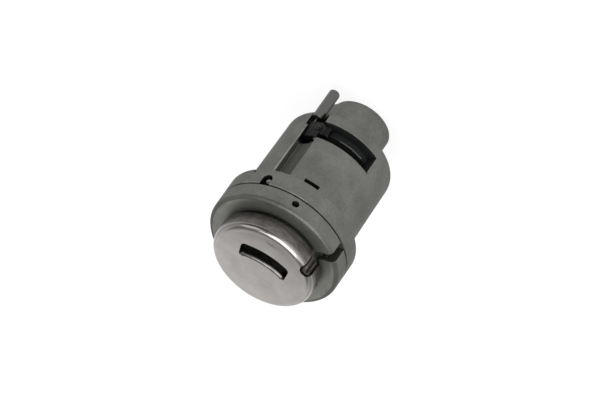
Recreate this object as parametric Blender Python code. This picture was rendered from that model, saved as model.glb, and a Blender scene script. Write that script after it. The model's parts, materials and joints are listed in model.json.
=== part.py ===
"""An ignition lock cylinder of the wafer kind, stood on the flat end of its nose.

+Z runs from the nose to the key face, and the origin is the axis at the nose's end.
Sizes are in millimetres and are turned to metres where a mesh is made. A place round
the barrel is a bearing in degrees: 0 faces -Y, and it grows towards +X.
"""
import math

import bmesh
import bpy
from mathutils import Matrix, Vector

MM = 0.001

# Fits
SEAT_GAP = 0.3
SIDE_GAP = 0.15
RUN_GAP = 0.3

# Lengths along the axis, from the nose's end to the key face
NOSE_LENGTH = 8.8
BODY_LENGTH = 22.0
FLANGE_THICKNESS = 4.2
COLLAR_HEIGHT = 4.2
FACE_ABOVE_COLLAR = 5.3

# Walls and steps across the axis, from the key face's cap outwards, then inwards again
CAP_R = 11.6
CAP_WALL = 0.6
CRIMP_REACH = 0.5
HEAD_FLANGE_STEP = 1.0
SPIGOT_WALL = 0.9
COLLAR_RIM = 2.3
FLANGE_STEP = 2.5
BODY_TAPER = 0.3
BODY_WALL = 2.5
STATOR_WALL = 1.2
HUB_STEP = 1.7
TAIL_STEP = 0.9
NOSE_WALL = 2.3

# Housing
NOSE_ROUND = 0.7
NOSE_FILLET = 1.0
SHOULDER_ROUND = 2.2
FLANGE_EDGE = 0.3
FLANGE_FILLET = 0.4
BORE_FLOOR = 1.5
SPIGOT_HEIGHT = 2.9
PAD_RAISE = 0.18
PAD_BEARINGS = (-33.0, 28.6)
WINDOW_ABOVE_SHOULDER = 3.7
WINDOW_HEIGHT = 5.0
WINDOW_BEARING = -32.6
PORT_BEHIND_WINDOW = 1.7
PORT_BEFORE_WINDOW = 0.9
PORT_BEARINGS = (31.5, 48.5)
RECESS_BEARING = 53.0
CHANNEL_START_BEARING = 29.0
CHANNEL_DEEPEST_BEARING = 45.5
CHANNEL_RADIUS = 6.1
CHANNEL_CENTRE_OUT = 4.4
CHANNEL_TO_FLANGE = 1.8
POCKET_BEARING = 6.8
POCKET_TO_FLANGE = 1.1
POCKET_WIDTH = 3.1
POCKET_HEIGHT = 1.7
POCKET_DEPTH = 1.9
NOTCH_BEARING = 38.5
NOTCH_WIDTH = 2.0
NOTCH_HEIGHT = 3.7
RELIEF_BEARING = 55.0
RELIEF_WIDTH = 1.0
RELIEF_HEIGHT = 1.1
RELIEF_DEPTH = 1.4
STOP_BEARING = 180.0
STOP_HALF_ANGLE = 5.0
STOP_PLAY_ANGLE = 1.6
STOP_HEIGHT = 1.1
STOP_WIDTH = 1.1
KEY_TURN = 100.0

# Collar ring
COLLAR_NECK_GAP = 0.4
COLLAR_WALL = 0.7
COLLAR_ROUND = 0.9
COLLAR_CREST = 0.5
DISH_DEPTH = 0.3
DISH_WIDTH = 1.4
SPLIT_BEARING = -48.0
SPLIT_WIDTH = 2.2
COLLAR_PIN_BEARING = 6.3
COLLAR_PIN_HEIGHT = 1.9
COLLAR_PIN_R = 0.6
COLLAR_PIN_SUNK = 1.4

# Key face
CAP_ROUND = 1.1
CAP_NECK_GAP = 1.0
CRIMP_WIDTH = 0.6
KEY_TILT = 6.5
OPENING_LENGTH = 11.1
OPENING_WIDTH = 4.1
OPENING_SAGITTA = 1.2
OPENING_OFFSET = 3.2
OPENING_CORNER = 0.8
OPENING_FAN = 0.14
LIP_DEPTH = 1.2
LIP_WALL = 0.5
LIP_ROLL = 0.4
LUG_BEARING = -46.0
LUG_INSET = 0.2
LUG_R = 1.25
LUG_CLEARANCE = 0.35
LUG_CROWN = 0.4
LUG_GROOVE = 0.8
LUG_GROOVE_DEPTH = 0.45
CARRIER_THICKNESS = 2.5
CARRIER_EDGE = 0.3
PEG_R = 0.8
PEG_LENGTH = 1.6
PEG_ALONG = 8.3
PEG_ACROSS = 2.5

# Shutter
FLAP_THICKNESS = 0.8
FLAP_OVERLAP = 0.05
FLAP_REACH_OVER = 0.25
HINGE_ACROSS = 1.6
KNUCKLE_R = 0.9
KNUCKLE_INNER = 2.4
KNUCKLE_INSET = 0.2
SHUTTER_PIN_R = 0.45
SHUTTER_PIN_OVER = 1.3
SHUTTER_COIL_R = 0.72
SHUTTER_WIRE_R = 0.13
SHUTTER_TURNS = 6
SHUTTER_LEG = 3.2
SWING_ROOM = 0.5

# Rotor and wafers
HEAD_FLANGE_THICKNESS = 2.2
CORE_FLAT_DEPTH = 0.7
STATOR_LENGTH = 17.2
TAIL_RECESS = 0.4
TAIL_CHAMFER = 0.3
DRIVE_SLOT_WIDTH = 1.6
DRIVE_SLOT_DEPTH = 3.0
KEYWAY_OFFSET = 2.6
KEYWAY_HEIGHT = 3.0
KEYWAY_HALF_WIDTH = 4.4
KEYWAY_END = 0.7
WAFER_COUNT = 8
WAFER_PITCH = 1.8
WAFER_TO_END = 2.1
WAFER_THICKNESS = 0.7
WAFER_EDGE = 1.1
WAFER_SHOULDER = 2.1
WAFER_TIP_BACK = 0.3
WAFER_HEEL_BACK = 1.0
WAFER_THROW = 1.2
WAFER_WINDOW_INSET = 0.2
EAR_ALONG = 3.2
EAR_WIDTH = 1.0
EAR_HEIGHT = 1.7
EAR_ROOM = 0.25
SPRING_POCKET_START = 0.6
WAFER_SPRING_R = 0.42
WAFER_WIRE_R = 0.1
WAFER_SPRING_TURNS = 3
STATOR_WINDOW_ROOM = 0.5

# Cam sleeve, slider and rod
CAM_LENGTH = 3.3
HUB_WALL = 1.2
CAM_LIFT = 1.5
CAM_DWELL = 10.0
SLIDER_TO_PORT = 1.6
SLIDER_LENGTH = 4.2
SLIDER_SIDE_ANGLE = 1.3
SLIDER_SUNK = 0.9
ARM_BEARING = 22.5
ARM_RAISE = 0.4
ARM_LENGTH = 2.6
SLIDER_CHAMFER = 0.35
SLIDER_CHAMFER_ANGLE = 1.8
FOOT_BEARING = 42.0
FOOT_HALF_WIDTH = 1.1
FOOT_HEIGHT = 1.2
FOOT_CLEARANCE = 0.6
ROD_BEARING = 47.0
ROD_R = 1.2
ROD_BEHIND_SHOULDER = 5.8
ROD_TIP_ROUND = 0.5
SPIGOT_PIN_R = 0.45
SPIGOT_PIN_LENGTH = 2.7
SLIDER_SPRING_R = 0.45
SLIDER_WIRE_R = 0.12
SLIDER_SPRING_IN_SLOT = 4.9
SLIDER_SPRING_TURNS = 7
STATOR_PIN_R = 0.8
STATOR_PIN_HEIGHT = 2.6
STATOR_PIN_OUT = 1.9
STATOR_PIN_CROWN = 0.4
PIN_BITE = 0.25

# Radii that follow from the walls and steps
NECK_R = CAP_R - CAP_WALL - CRIMP_REACH - SEAT_GAP
HEAD_FLANGE_R = NECK_R + HEAD_FLANGE_STEP
COUNTERBORE_R = HEAD_FLANGE_R + RUN_GAP
SPIGOT_R = COUNTERBORE_R + SPIGOT_WALL
FLANGE_R = SPIGOT_R + SEAT_GAP + COLLAR_RIM
BODY_FRONT_R = FLANGE_R - FLANGE_STEP
BODY_REAR_R = BODY_FRONT_R - BODY_TAPER
BORE_R = BODY_FRONT_R - BODY_WALL
STATOR_OUTER_R = BORE_R - SEAT_GAP
STATOR_INNER_R = STATOR_OUTER_R - STATOR_WALL
PLUG_R = STATOR_INNER_R - RUN_GAP
HUB_R = PLUG_R - HUB_STEP
CORE_R = HUB_R - HUB_WALL - SEAT_GAP
CORE_FLAT = CORE_R - CORE_FLAT_DEPTH
TAIL_R = CORE_R - TAIL_STEP
NOSE_R = TAIL_R + RUN_GAP + NOSE_WALL
STOP_INNER_R = COUNTERBORE_R - STOP_WIDTH
COLLAR_HOLE_R = NECK_R + COLLAR_NECK_GAP
CHANNEL_CENTRE_R = BODY_FRONT_R + CHANNEL_CENTRE_OUT
CAP_NOTCH_R = LUG_R + LUG_CLEARANCE
LUG_REACH = CAP_R - LUG_INSET
CARRIER_R = CAP_R - CAP_WALL - SEAT_GAP
WAFER_OUTER_R = PLUG_R - WAFER_TIP_BACK
WAFER_INNER_R = PLUG_R - WAFER_HEEL_BACK
SLIDER_INNER_R = BORE_R + RUN_GAP
SLIDER_OUTER_R = BODY_FRONT_R - SLIDER_SUNK
FOOT_INNER_R = HUB_R + FOOT_CLEARANCE
ROD_CENTRE_R = BORE_R + ROD_R
STATOR_PIN_END_R = BODY_FRONT_R + STATOR_PIN_OUT

# Heights that follow from the lengths
SHOULDER_Z = NOSE_LENGTH
FLANGE_REAR_Z = SHOULDER_Z + BODY_LENGTH
JOINT_Z = FLANGE_REAR_Z + FLANGE_THICKNESS
COLLAR_FRONT_Z = JOINT_Z + COLLAR_HEIGHT
FACE_Z = COLLAR_FRONT_Z + FACE_ABOVE_COLLAR
BORE_FLOOR_Z = SHOULDER_Z + BORE_FLOOR
SPIGOT_TOP_Z = JOINT_Z + SPIGOT_HEIGHT
COUNTERBORE_Z = JOINT_Z + SEAT_GAP
HEAD_FLANGE_Z = COUNTERBORE_Z + RUN_GAP
HEAD_FLANGE_TOP_Z = HEAD_FLANGE_Z + HEAD_FLANGE_THICKNESS
CAP_SKIRT_Z = COLLAR_FRONT_Z + CAP_NECK_GAP
CAP_CEILING_Z = FACE_Z - CAP_WALL
HEAD_TOP_Z = CAP_SKIRT_Z + CRIMP_WIDTH
CARRIER_Z = HEAD_TOP_Z + SEAT_GAP
CARRIER_TOP_Z = CARRIER_Z + CARRIER_THICKNESS
FLAP_TOP_Z = FACE_Z - LIP_DEPTH - SEAT_GAP
HINGE_Z = FLAP_TOP_Z - FLAP_THICKNESS
WINDOW_Z = SHOULDER_Z + WINDOW_ABOVE_SHOULDER
WINDOW_TOP_Z = WINDOW_Z + WINDOW_HEIGHT
PORT_Z = WINDOW_Z - PORT_BEHIND_WINDOW
PORT_TOP_Z = WINDOW_TOP_Z + PORT_BEFORE_WINDOW
STATOR_REAR_Z = JOINT_Z - STATOR_LENGTH
WAFER_FIRST_Z = STATOR_REAR_Z + WAFER_TO_END
CAM_FOOT_Z = BORE_FLOOR_Z + RUN_GAP
CAM_RIM_Z = CAM_FOOT_Z + CAM_LENGTH
FOOT_Z = CAM_RIM_Z + RUN_GAP
HUB_TOP_Z = STATOR_REAR_Z - SEAT_GAP
SLIDER_Z = PORT_Z + SLIDER_TO_PORT
SLIDER_TOP_Z = SLIDER_Z + SLIDER_LENGTH
ROD_SHOULDER_Z = SLIDER_Z - SEAT_GAP
SLIDER_SPRING_TOP_Z = STATOR_REAR_Z + SLIDER_SPRING_IN_SLOT
COLLAR_PIN_Z = JOINT_Z + COLLAR_PIN_HEIGHT
STATOR_PIN_Z = FLANGE_REAR_Z + STATOR_PIN_HEIGHT

# Sizes in the key's own frame that follow from the opening and the keyway
OPENING_HALF = OPENING_LENGTH / 2
FLAP_HALF_LENGTH = OPENING_HALF + FLAP_OVERLAP
FLAP_REACH = HINGE_ACROSS + OPENING_OFFSET + OPENING_WIDTH / 2 + FLAP_REACH_OVER
SHUTTER_PIN_HALF = FLAP_HALF_LENGTH + SHUTTER_PIN_OVER
KEYWAY_LOW = -KEYWAY_OFFSET - KEYWAY_HEIGHT / 2
KEYWAY_HIGH = -KEYWAY_OFFSET + KEYWAY_HEIGHT / 2
WAFER_LOW = KEYWAY_LOW - WAFER_EDGE
WAFER_HIGH = KEYWAY_HIGH + WAFER_SHOULDER
EAR_TOP = WAFER_HIGH + EAR_HEIGHT

# Facets round a circle, for small, inner and outer pieces
SMALL = 12
COARSE = 20
ROUND = 40
FINE = 56
# How far a cutter runs past the face that it opens
PAST = 0.5


def clear_scene():
    """Empties the scene of its starting objects."""
    for item in list(bpy.data.objects):
        bpy.data.objects.remove(item, do_unlink=True)


def material(name, colour, roughness, metallic):
    """A plain Principled material; colour is linear red, green and blue."""
    finish = bpy.data.materials.new(name)
    finish.use_nodes = True
    shader = finish.node_tree.nodes["Principled BSDF"]
    shader.inputs["Base Color"].default_value = (*colour, 1.0)
    shader.inputs["Roughness"].default_value = roughness
    shader.inputs["Metallic"].default_value = metallic
    return finish


def finish_mesh(bm, name, smooth=True):
    """Closes a bmesh into a new object, with its normals out and round faces smooth."""
    bmesh.ops.remove_doubles(bm, verts=bm.verts[:], dist=1e-7)
    bmesh.ops.dissolve_degenerate(bm, edges=bm.edges[:], dist=1e-8)
    bmesh.ops.recalc_face_normals(bm, faces=bm.faces[:])
    mesh = bpy.data.meshes.new(name)
    bm.to_mesh(mesh)
    bm.free()
    item = bpy.data.objects.new(name, mesh)
    bpy.context.scene.collection.objects.link(item)
    if smooth:
        mesh.shade_smooth()
        mesh.set_sharp_from_angle(angle=math.radians(32))
    return item


def combine(target, other, operation):
    """Cuts, joins or keeps what two solids share, and removes the second one."""
    modifier = target.modifiers.new("combine", "BOOLEAN")
    modifier.operation = operation
    modifier.solver = "EXACT"
    modifier.object = other
    bpy.context.view_layer.update()
    graph = bpy.context.evaluated_depsgraph_get()
    shaped = bpy.data.meshes.new_from_object(target.evaluated_get(graph))
    target.modifiers.clear()
    target.data = shaped
    shaped.name = target.name
    bpy.data.objects.remove(other, do_unlink=True)


def cut(target, *tools):
    """Takes each tool's solid out of the target."""
    for tool in tools:
        combine(target, tool, "DIFFERENCE")


def join(target, *others):
    """Fuses the other solids into the target."""
    for other in others:
        combine(target, other, "UNION")


def turned(name, profile, segments=ROUND):
    """Spins a closed outline of (radius, height) points once round the axis."""
    bm = bmesh.new()
    rim = [bm.verts.new((radius * MM, 0.0, height * MM)) for radius, height in profile]
    edges = [bm.edges.new((rim[i - 1], rim[i])) for i in range(len(rim))]
    bmesh.ops.spin(
        bm,
        geom=rim + edges,
        cent=(0.0, 0.0, 0.0),
        axis=(0.0, 0.0, 1.0),
        angle=math.tau,
        steps=segments,
        use_merge=True,
    )
    return finish_mesh(bm, name)


def stacked(name, layers):
    """Skins a stack of outlines; each layer is (points, height) with as many points."""
    bm = bmesh.new()
    loops = []
    for points, height in layers:
        loops.append([bm.verts.new((x * MM, y * MM, height * MM)) for x, y in points])
    bm.faces.new(list(reversed(loops[0])))
    bm.faces.new(loops[-1])
    for lower, upper in zip(loops, loops[1:]):
        for i in range(len(lower)):
            bm.faces.new((lower[i - 1], lower[i], upper[i], upper[i - 1]))
    return finish_mesh(bm, name)


def prism(name, points, low, high):
    """Extrudes an outline of (x, y) points from one height to another."""
    return stacked(name, [(points, low), (points, high)])


def move(item, matrix):
    """Moves a solid's mesh, so that its origin stays where it is."""
    item.data.transform(matrix)
    return item


def around(item, bearing):
    """Turns a solid made at bearing 0 to its own bearing."""
    return move(item, Matrix.Rotation(math.radians(bearing), 4, "Z"))


def place(bearing, radius):
    """The (x, y) of a bearing at a radius."""
    angle = math.radians(bearing)
    return radius * math.sin(angle), -radius * math.cos(angle)


def block(name, xs, ys, zs):
    """A plain box between two values on each axis, used to cut or to build up."""
    points = [(xs[0], ys[0]), (xs[1], ys[0]), (xs[1], ys[1]), (xs[0], ys[1])]
    return prism(name, points, zs[0], zs[1])


def radial_block(name, bearing, width, radii, zs):
    """A box centred on a bearing, between two radii."""
    half = width / 2
    return around(block(name, (-half, half), (-radii[1], -radii[0]), zs), bearing)


def upright(name, centre, radius, low, high, segments=COARSE):
    """A cylinder along the axis, centred on an (x, y)."""
    return prism(name, circle(centre, radius, segments), low, high)


def circle(centre, radius, segments=COARSE):
    """The points of a circle round an (x, y)."""
    return [
        (
            centre[0] + radius * math.cos(math.tau * i / segments),
            centre[1] + radius * math.sin(math.tau * i / segments),
        )
        for i in range(segments)
    ]


def radial_pin(name, bearing, height, radius, radii, segments=COARSE):
    """A cylinder that points out from the axis, between two radii."""
    pin = upright(name, (0.0, 0.0), radius, radii[0], radii[1], segments)
    move(pin, Matrix.Rotation(math.radians(90), 4, "X"))
    move(pin, Matrix.Translation((0.0, 0.0, height * MM)))
    return around(pin, bearing)


def sector(name, bearings, radii, zs, step=4.0):
    """A part of a ring between two bearings, two radii and two heights."""
    return prism(name, sector_outline(bearings, radii, step), zs[0], zs[1])


def sector_outline(bearings, radii, step=4.0, count=None):
    """The outline of a part of a ring."""
    count = count or max(1, math.ceil((bearings[1] - bearings[0]) / step))
    turn = (bearings[1] - bearings[0]) / count
    outer = [place(bearings[0] + turn * i, radii[1]) for i in range(count + 1)]
    inner = [place(bearings[1] - turn * i, radii[0]) for i in range(count + 1)]
    return outer + inner


def arc(centre, radius, start, end, steps):
    """Points on an arc in the profile's plane, angles in degrees."""
    points = []
    for i in range(steps + 1):
        angle = math.radians(start + (end - start) * i / steps)
        points.append((centre[0] + radius * math.cos(angle), centre[1] + radius * math.sin(angle)))
    return points


def coil(name, radius, wire, length, turns, lead_in=(), lead_out=(), per_turn=8):
    """A coil spring of wire along +Z, with straight ends if they are given."""
    steps = turns * per_turn
    path = [Vector(point) for point in lead_in]
    for i in range(steps + 1):
        angle = math.tau * i / per_turn
        height = length * i / steps
        path.append(Vector((radius * math.cos(angle), radius * math.sin(angle), height)))
    path += [Vector(point) for point in lead_out]
    curve = bpy.data.curves.new(name, "CURVE")
    curve.dimensions = "3D"
    curve.bevel_depth = wire * MM
    curve.bevel_resolution = 0
    curve.use_fill_caps = True
    spline = curve.splines.new("POLY")
    spline.points.add(len(path) - 1)
    for point, position in zip(spline.points, path):
        point.co = (*(position * MM), 1.0)
    wire_object = bpy.data.objects.new(name, curve)
    bpy.context.scene.collection.objects.link(wire_object)
    bpy.context.view_layer.update()
    graph = bpy.context.evaluated_depsgraph_get()
    bm = bmesh.new()
    bm.from_mesh(bpy.data.meshes.new_from_object(wire_object.evaluated_get(graph)))
    bpy.data.objects.remove(wire_object, do_unlink=True)
    return finish_mesh(bm, name)


def key_frame():
    """Turns (along the key's width, across it, up) into the part's own frame."""
    return Matrix.Rotation(math.radians(KEY_TILT), 4, "Z")


def rounded_rectangle(half_length, half_width, corner, steps=4):
    """Outline of a rectangle with round corners, anticlockwise from its right side."""
    points = []
    corners = ((1, 1, 0), (-1, 1, 90), (-1, -1, 180), (1, -1, 270))
    for side, level, start in corners:
        centre = (side * (half_length - corner), level * (half_width - corner))
        points += arc(centre, corner, start, start + 90, steps)
    return points


def opening_outline(grow, corner_grow=0.0):
    """The arched key opening, grown all round by a wall, in the key's own frame."""
    corner = OPENING_CORNER + corner_grow
    plain = rounded_rectangle(OPENING_HALF + grow, OPENING_WIDTH / 2 + grow, corner)
    points = []
    for along, across in subdivided(plain):
        rise = OPENING_OFFSET + across - OPENING_SAGITTA * (along / OPENING_HALF) ** 2
        points.append((along * (1 + OPENING_FAN * across / OPENING_LENGTH), -rise))
    return points


def subdivided(points, pieces=6):
    """Splits the long sides of an outline, so that they can follow a bend."""
    result = []
    for here, ahead in zip(points, points[1:] + points[:1]):
        result.append(here)
        if abs(ahead[0] - here[0]) > 2.0:
            for i in range(1, pieces):
                share = i / pieces
                result.append((here[0] + (ahead[0] - here[0]) * share, here[1]))
    return result


def make_housing(zinc):
    """The die-cast barrel: nose, domed shoulder, body, flange and spigot, bored through."""
    body_top = FLANGE_REAR_Z - FLANGE_FILLET
    profile = [(TAIL_R + RUN_GAP, 0.0)]
    profile += arc((NOSE_R - NOSE_ROUND, NOSE_ROUND), NOSE_ROUND, -90, 0, 3)
    fillet_centre = (NOSE_R + NOSE_FILLET, SHOULDER_Z - NOSE_FILLET)
    profile += arc(fillet_centre, NOSE_FILLET, 180, 90, 2)
    dome_centre = (BODY_REAR_R - SHOULDER_ROUND, SHOULDER_Z + SHOULDER_ROUND)
    profile += arc(dome_centre, SHOULDER_ROUND, -90, 0, 4)
    profile += arc((BODY_FRONT_R + FLANGE_FILLET, body_top), FLANGE_FILLET, 180, 90, 1)
    profile += [
        (FLANGE_R - FLANGE_EDGE, FLANGE_REAR_Z),
        (FLANGE_R, FLANGE_REAR_Z + FLANGE_EDGE),
        (FLANGE_R, JOINT_Z - SIDE_GAP),
        (FLANGE_R - SIDE_GAP, JOINT_Z),
        (SPIGOT_R, JOINT_Z),
        (SPIGOT_R, SPIGOT_TOP_Z),
        (COUNTERBORE_R, SPIGOT_TOP_Z),
        (COUNTERBORE_R, COUNTERBORE_Z),
        (BORE_R, COUNTERBORE_Z),
        (BORE_R, BORE_FLOOR_Z),
        (TAIL_R + RUN_GAP, BORE_FLOOR_Z),
    ]
    housing = turned("housing", profile, FINE)
    pad_radii = (BODY_REAR_R - PAST, BODY_FRONT_R + PAD_RAISE)
    join(housing, sector("pad", PAD_BEARINGS, pad_radii, (WINDOW_TOP_Z - PAST, FLANGE_REAR_Z + PAST)))
    stop_span = (STOP_BEARING - STOP_HALF_ANGLE, STOP_BEARING + STOP_HALF_ANGLE)
    stop_radii = (STOP_INNER_R, COUNTERBORE_R + SPIGOT_WALL / 2)
    stop_zs = (JOINT_Z, COUNTERBORE_Z + STOP_HEIGHT)
    join(housing, sector("stop", stop_span, stop_radii, stop_zs))
    cut(housing, *wall_openings())
    cut(housing, *flange_openings())
    housing.data.materials.append(zinc)
    return housing


def channel_outline():
    """The hollow beside the rod: a round floor that ends at a steep side."""
    points = [place(PORT_BEARINGS[1], CHANNEL_CENTRE_R), place(CHANNEL_START_BEARING, CHANNEL_CENTRE_R)]
    steps = 7
    for i in range(steps + 1):
        bearing = CHANNEL_START_BEARING + (PORT_BEARINGS[1] - CHANNEL_START_BEARING) * i / steps
        off = math.radians(bearing - CHANNEL_DEEPEST_BEARING)
        across = CHANNEL_CENTRE_R * math.sin(off)
        depth = math.sqrt(CHANNEL_RADIUS * CHANNEL_RADIUS - across * across)
        points.append(place(bearing, CHANNEL_CENTRE_R * math.cos(off) - depth))
    return points


def wall_openings():
    """Cutters for the wall slot, the slider's port and recess, the rod's groove and the pocket."""
    outside = FLANGE_R - PAST
    through = (BORE_R - PAST, outside)
    window = sector("window", (WINDOW_BEARING, PORT_BEARINGS[0] + PAST), through, (WINDOW_Z, WINDOW_TOP_Z))
    port = sector("port", PORT_BEARINGS, through, (PORT_Z, PORT_TOP_Z))
    channel = prism("channel", channel_outline(), PORT_TOP_Z - PAST, FLANGE_REAR_Z - CHANNEL_TO_FLANGE)
    rod_spot = place(ROD_BEARING, ROD_CENTRE_R)
    groove_r = ROD_R + RUN_GAP
    groove_end = ROD_SHOULDER_Z + CAM_LIFT + RUN_GAP
    groove = upright("groove", rod_spot, groove_r, SHOULDER_Z - PAST, groove_end)
    mouth_across = (rod_spot[0] - groove_r, rod_spot[0] + groove_r)
    groove_mouth = block("mouth", mouth_across, (-outside, rod_spot[1]), (SHOULDER_Z - PAST, PORT_Z + PAST))
    recess_span = (PORT_BEARINGS[1] - SLIDER_SIDE_ANGLE, RECESS_BEARING)
    recess_radii = (BORE_R - PAST, SLIDER_OUTER_R + RUN_GAP)
    recess = sector("recess", recess_span, recess_radii, (PORT_Z, PORT_TOP_Z))
    pocket_top = FLANGE_REAR_Z - POCKET_TO_FLANGE
    pocket_zs = (pocket_top - POCKET_HEIGHT, pocket_top)
    pocket_radii = (BODY_FRONT_R - POCKET_DEPTH, outside)
    pocket = radial_block("pocket", POCKET_BEARING, POCKET_WIDTH, pocket_radii, pocket_zs)
    return window, port, recess, channel, groove, groove_mouth, pocket


def flange_openings():
    """Cutters for the flange's notches, the pins' holes and the split in the spigot."""
    outside = FLANGE_R + PAST
    notch_zs = (FLANGE_REAR_Z - PAST, FLANGE_REAR_Z + NOTCH_HEIGHT)
    notch = radial_block("notch", NOTCH_BEARING, NOTCH_WIDTH, (BODY_FRONT_R - SIDE_GAP, outside), notch_zs)
    relief_zs = (FLANGE_REAR_Z - PAST, FLANGE_REAR_Z + RELIEF_HEIGHT)
    relief_radii = (FLANGE_R - RELIEF_DEPTH, outside)
    relief = radial_block("relief", RELIEF_BEARING, RELIEF_WIDTH, relief_radii, relief_zs)
    stator_hole = radial_pin(
        "stator_hole", NOTCH_BEARING, STATOR_PIN_Z, STATOR_PIN_R + SIDE_GAP, (BORE_R - PAST, FLANGE_R)
    )
    collar_hole = radial_pin(
        "collar_hole", COLLAR_PIN_BEARING, COLLAR_PIN_Z, COLLAR_PIN_R + SIDE_GAP, (HEAD_FLANGE_R, FLANGE_R)
    )
    split_radii = (HEAD_FLANGE_R, SPIGOT_R + PAST)
    split = radial_block("split", SPLIT_BEARING, SPLIT_WIDTH, split_radii, (JOINT_Z, SPIGOT_TOP_Z + PAST))
    return notch, relief, stator_hole, collar_hole, split


def make_collar_ring(zinc):
    """The split ring in front of the flange, dished towards the cap."""
    floor_z = COLLAR_FRONT_Z - DISH_DEPTH
    crest_r = FLANGE_R - COLLAR_ROUND
    inside_r = SPIGOT_R + SEAT_GAP
    bottom_z = JOINT_Z + SEAT_GAP
    profile = [
        (inside_r, bottom_z),
        (FLANGE_R - SIDE_GAP, bottom_z),
        (FLANGE_R, bottom_z + SIDE_GAP),
    ]
    profile += arc((crest_r, COLLAR_FRONT_Z - COLLAR_ROUND), COLLAR_ROUND, 0, 90, 3)
    profile += [
        (crest_r - COLLAR_CREST, COLLAR_FRONT_Z),
        (crest_r - COLLAR_CREST - DISH_WIDTH, floor_z),
        (COLLAR_HOLE_R + SIDE_GAP, floor_z),
        (COLLAR_HOLE_R, floor_z - SIDE_GAP),
        (COLLAR_HOLE_R, floor_z - COLLAR_WALL),
        (inside_r, floor_z - COLLAR_WALL),
    ]
    ring = turned("collar_ring", profile, FINE)
    split_radii = (COLLAR_HOLE_R - PAST, FLANGE_R + PAST)
    cut(ring, radial_block("split", SPLIT_BEARING, SPLIT_WIDTH, split_radii, (JOINT_Z, FACE_Z)))
    hole_radii = (SPIGOT_R - PAST, FLANGE_R + PAST)
    hole_r = COLLAR_PIN_R + SIDE_GAP
    cut(ring, radial_pin("hole", COLLAR_PIN_BEARING, COLLAR_PIN_Z, hole_r, hole_radii))
    ring.data.materials.append(zinc)
    return ring


def make_face_cap(stainless):
    """The pressed cap: flat face, rolled edge, crimped skirt and lipped key opening."""
    inner_r = CAP_R - CAP_WALL
    inner_round = CAP_ROUND - CAP_WALL
    skirt_edge = CAP_WALL / 2
    profile = [(0.0, FACE_Z)]
    profile += arc((CAP_R - CAP_ROUND, FACE_Z - CAP_ROUND), CAP_ROUND, 90, 0, 4)
    profile += [
        (CAP_R, CAP_SKIRT_Z + skirt_edge),
        (CAP_R - skirt_edge, CAP_SKIRT_Z),
        (NECK_R + SEAT_GAP, CAP_SKIRT_Z),
        (NECK_R + SEAT_GAP, CAP_SKIRT_Z + CRIMP_WIDTH),
        (inner_r, CAP_SKIRT_Z + CRIMP_WIDTH),
    ]
    profile += arc((inner_r - inner_round, CAP_CEILING_Z - inner_round), inner_round, 0, 90, 1)
    profile += [(0.0, CAP_CEILING_Z)]
    cap = turned("face_cap", profile, FINE)
    lip = prism("lip", opening_outline(LIP_WALL), FACE_Z - LIP_DEPTH, FACE_Z - CAP_WALL / 2)
    join(cap, move(lip, key_frame()))
    layers = [
        (opening_outline(0.0), FACE_Z - LIP_DEPTH - PAST),
        (opening_outline(0.0), FACE_Z - LIP_ROLL),
    ]
    for angle in (30, 60, 90):
        grow = LIP_ROLL * (1 - math.cos(math.radians(angle)))
        height = FACE_Z - LIP_ROLL + LIP_ROLL * math.sin(math.radians(angle))
        layers.append((opening_outline(grow, grow), height))
    layers.append((opening_outline(LIP_ROLL, LIP_ROLL), FACE_Z + PAST))
    cut(cap, move(stacked("opening", layers), key_frame()))
    notch_spot = place(LUG_BEARING, LUG_REACH)
    cut(cap, upright("notch", notch_spot, CAP_NOTCH_R, CAP_SKIRT_Z - PAST, FACE_Z + PAST))
    cap.data.materials.append(stainless)
    return cap


def make_shutter_carrier(zinc):
    """The cast disc under the cap, with the shutter's frame and the lug of the cap's notch."""
    profile = [
        (0.0, CARRIER_Z),
        (CARRIER_R, CARRIER_Z),
        (CARRIER_R, CARRIER_TOP_Z - CARRIER_EDGE),
        (CARRIER_R - CARRIER_EDGE, CARRIER_TOP_Z),
        (0.0, CARRIER_TOP_Z),
    ]
    carrier = turned("shutter_carrier", profile)
    join(carrier, make_lug())
    half = OPENING_HALF + LIP_WALL + SEAT_GAP
    far = OPENING_OFFSET + OPENING_WIDTH / 2 + LIP_WALL + SEAT_GAP
    near = HINGE_ACROSS + KNUCKLE_R + SEAT_GAP
    frame = block("frame", (-half, half), (-far, near), (CARRIER_Z - PAST, CARRIER_TOP_Z + PAST))
    slot_half = SHUTTER_PIN_HALF + SEAT_GAP
    slot_r = SHUTTER_PIN_R + SIDE_GAP
    slot_across = (HINGE_ACROSS - slot_r, HINGE_ACROSS + slot_r)
    slot = block("slot", (-slot_half, slot_half), slot_across, (CARRIER_Z - PAST, HINGE_Z))
    saddle = hinge_rod("saddle", slot_r, -slot_half, slot_half)
    for tool in (frame, slot, saddle):
        cut(carrier, move(tool, key_frame()))
    for side in (-1, 1):
        spot = (side * PEG_ALONG, PEG_ACROSS)
        peg = upright("peg", spot, PEG_R, CARRIER_Z - PEG_LENGTH, CARRIER_Z + PAST)
        join(carrier, move(peg, key_frame()))
    carrier.data.materials.append(zinc)
    return carrier


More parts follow.
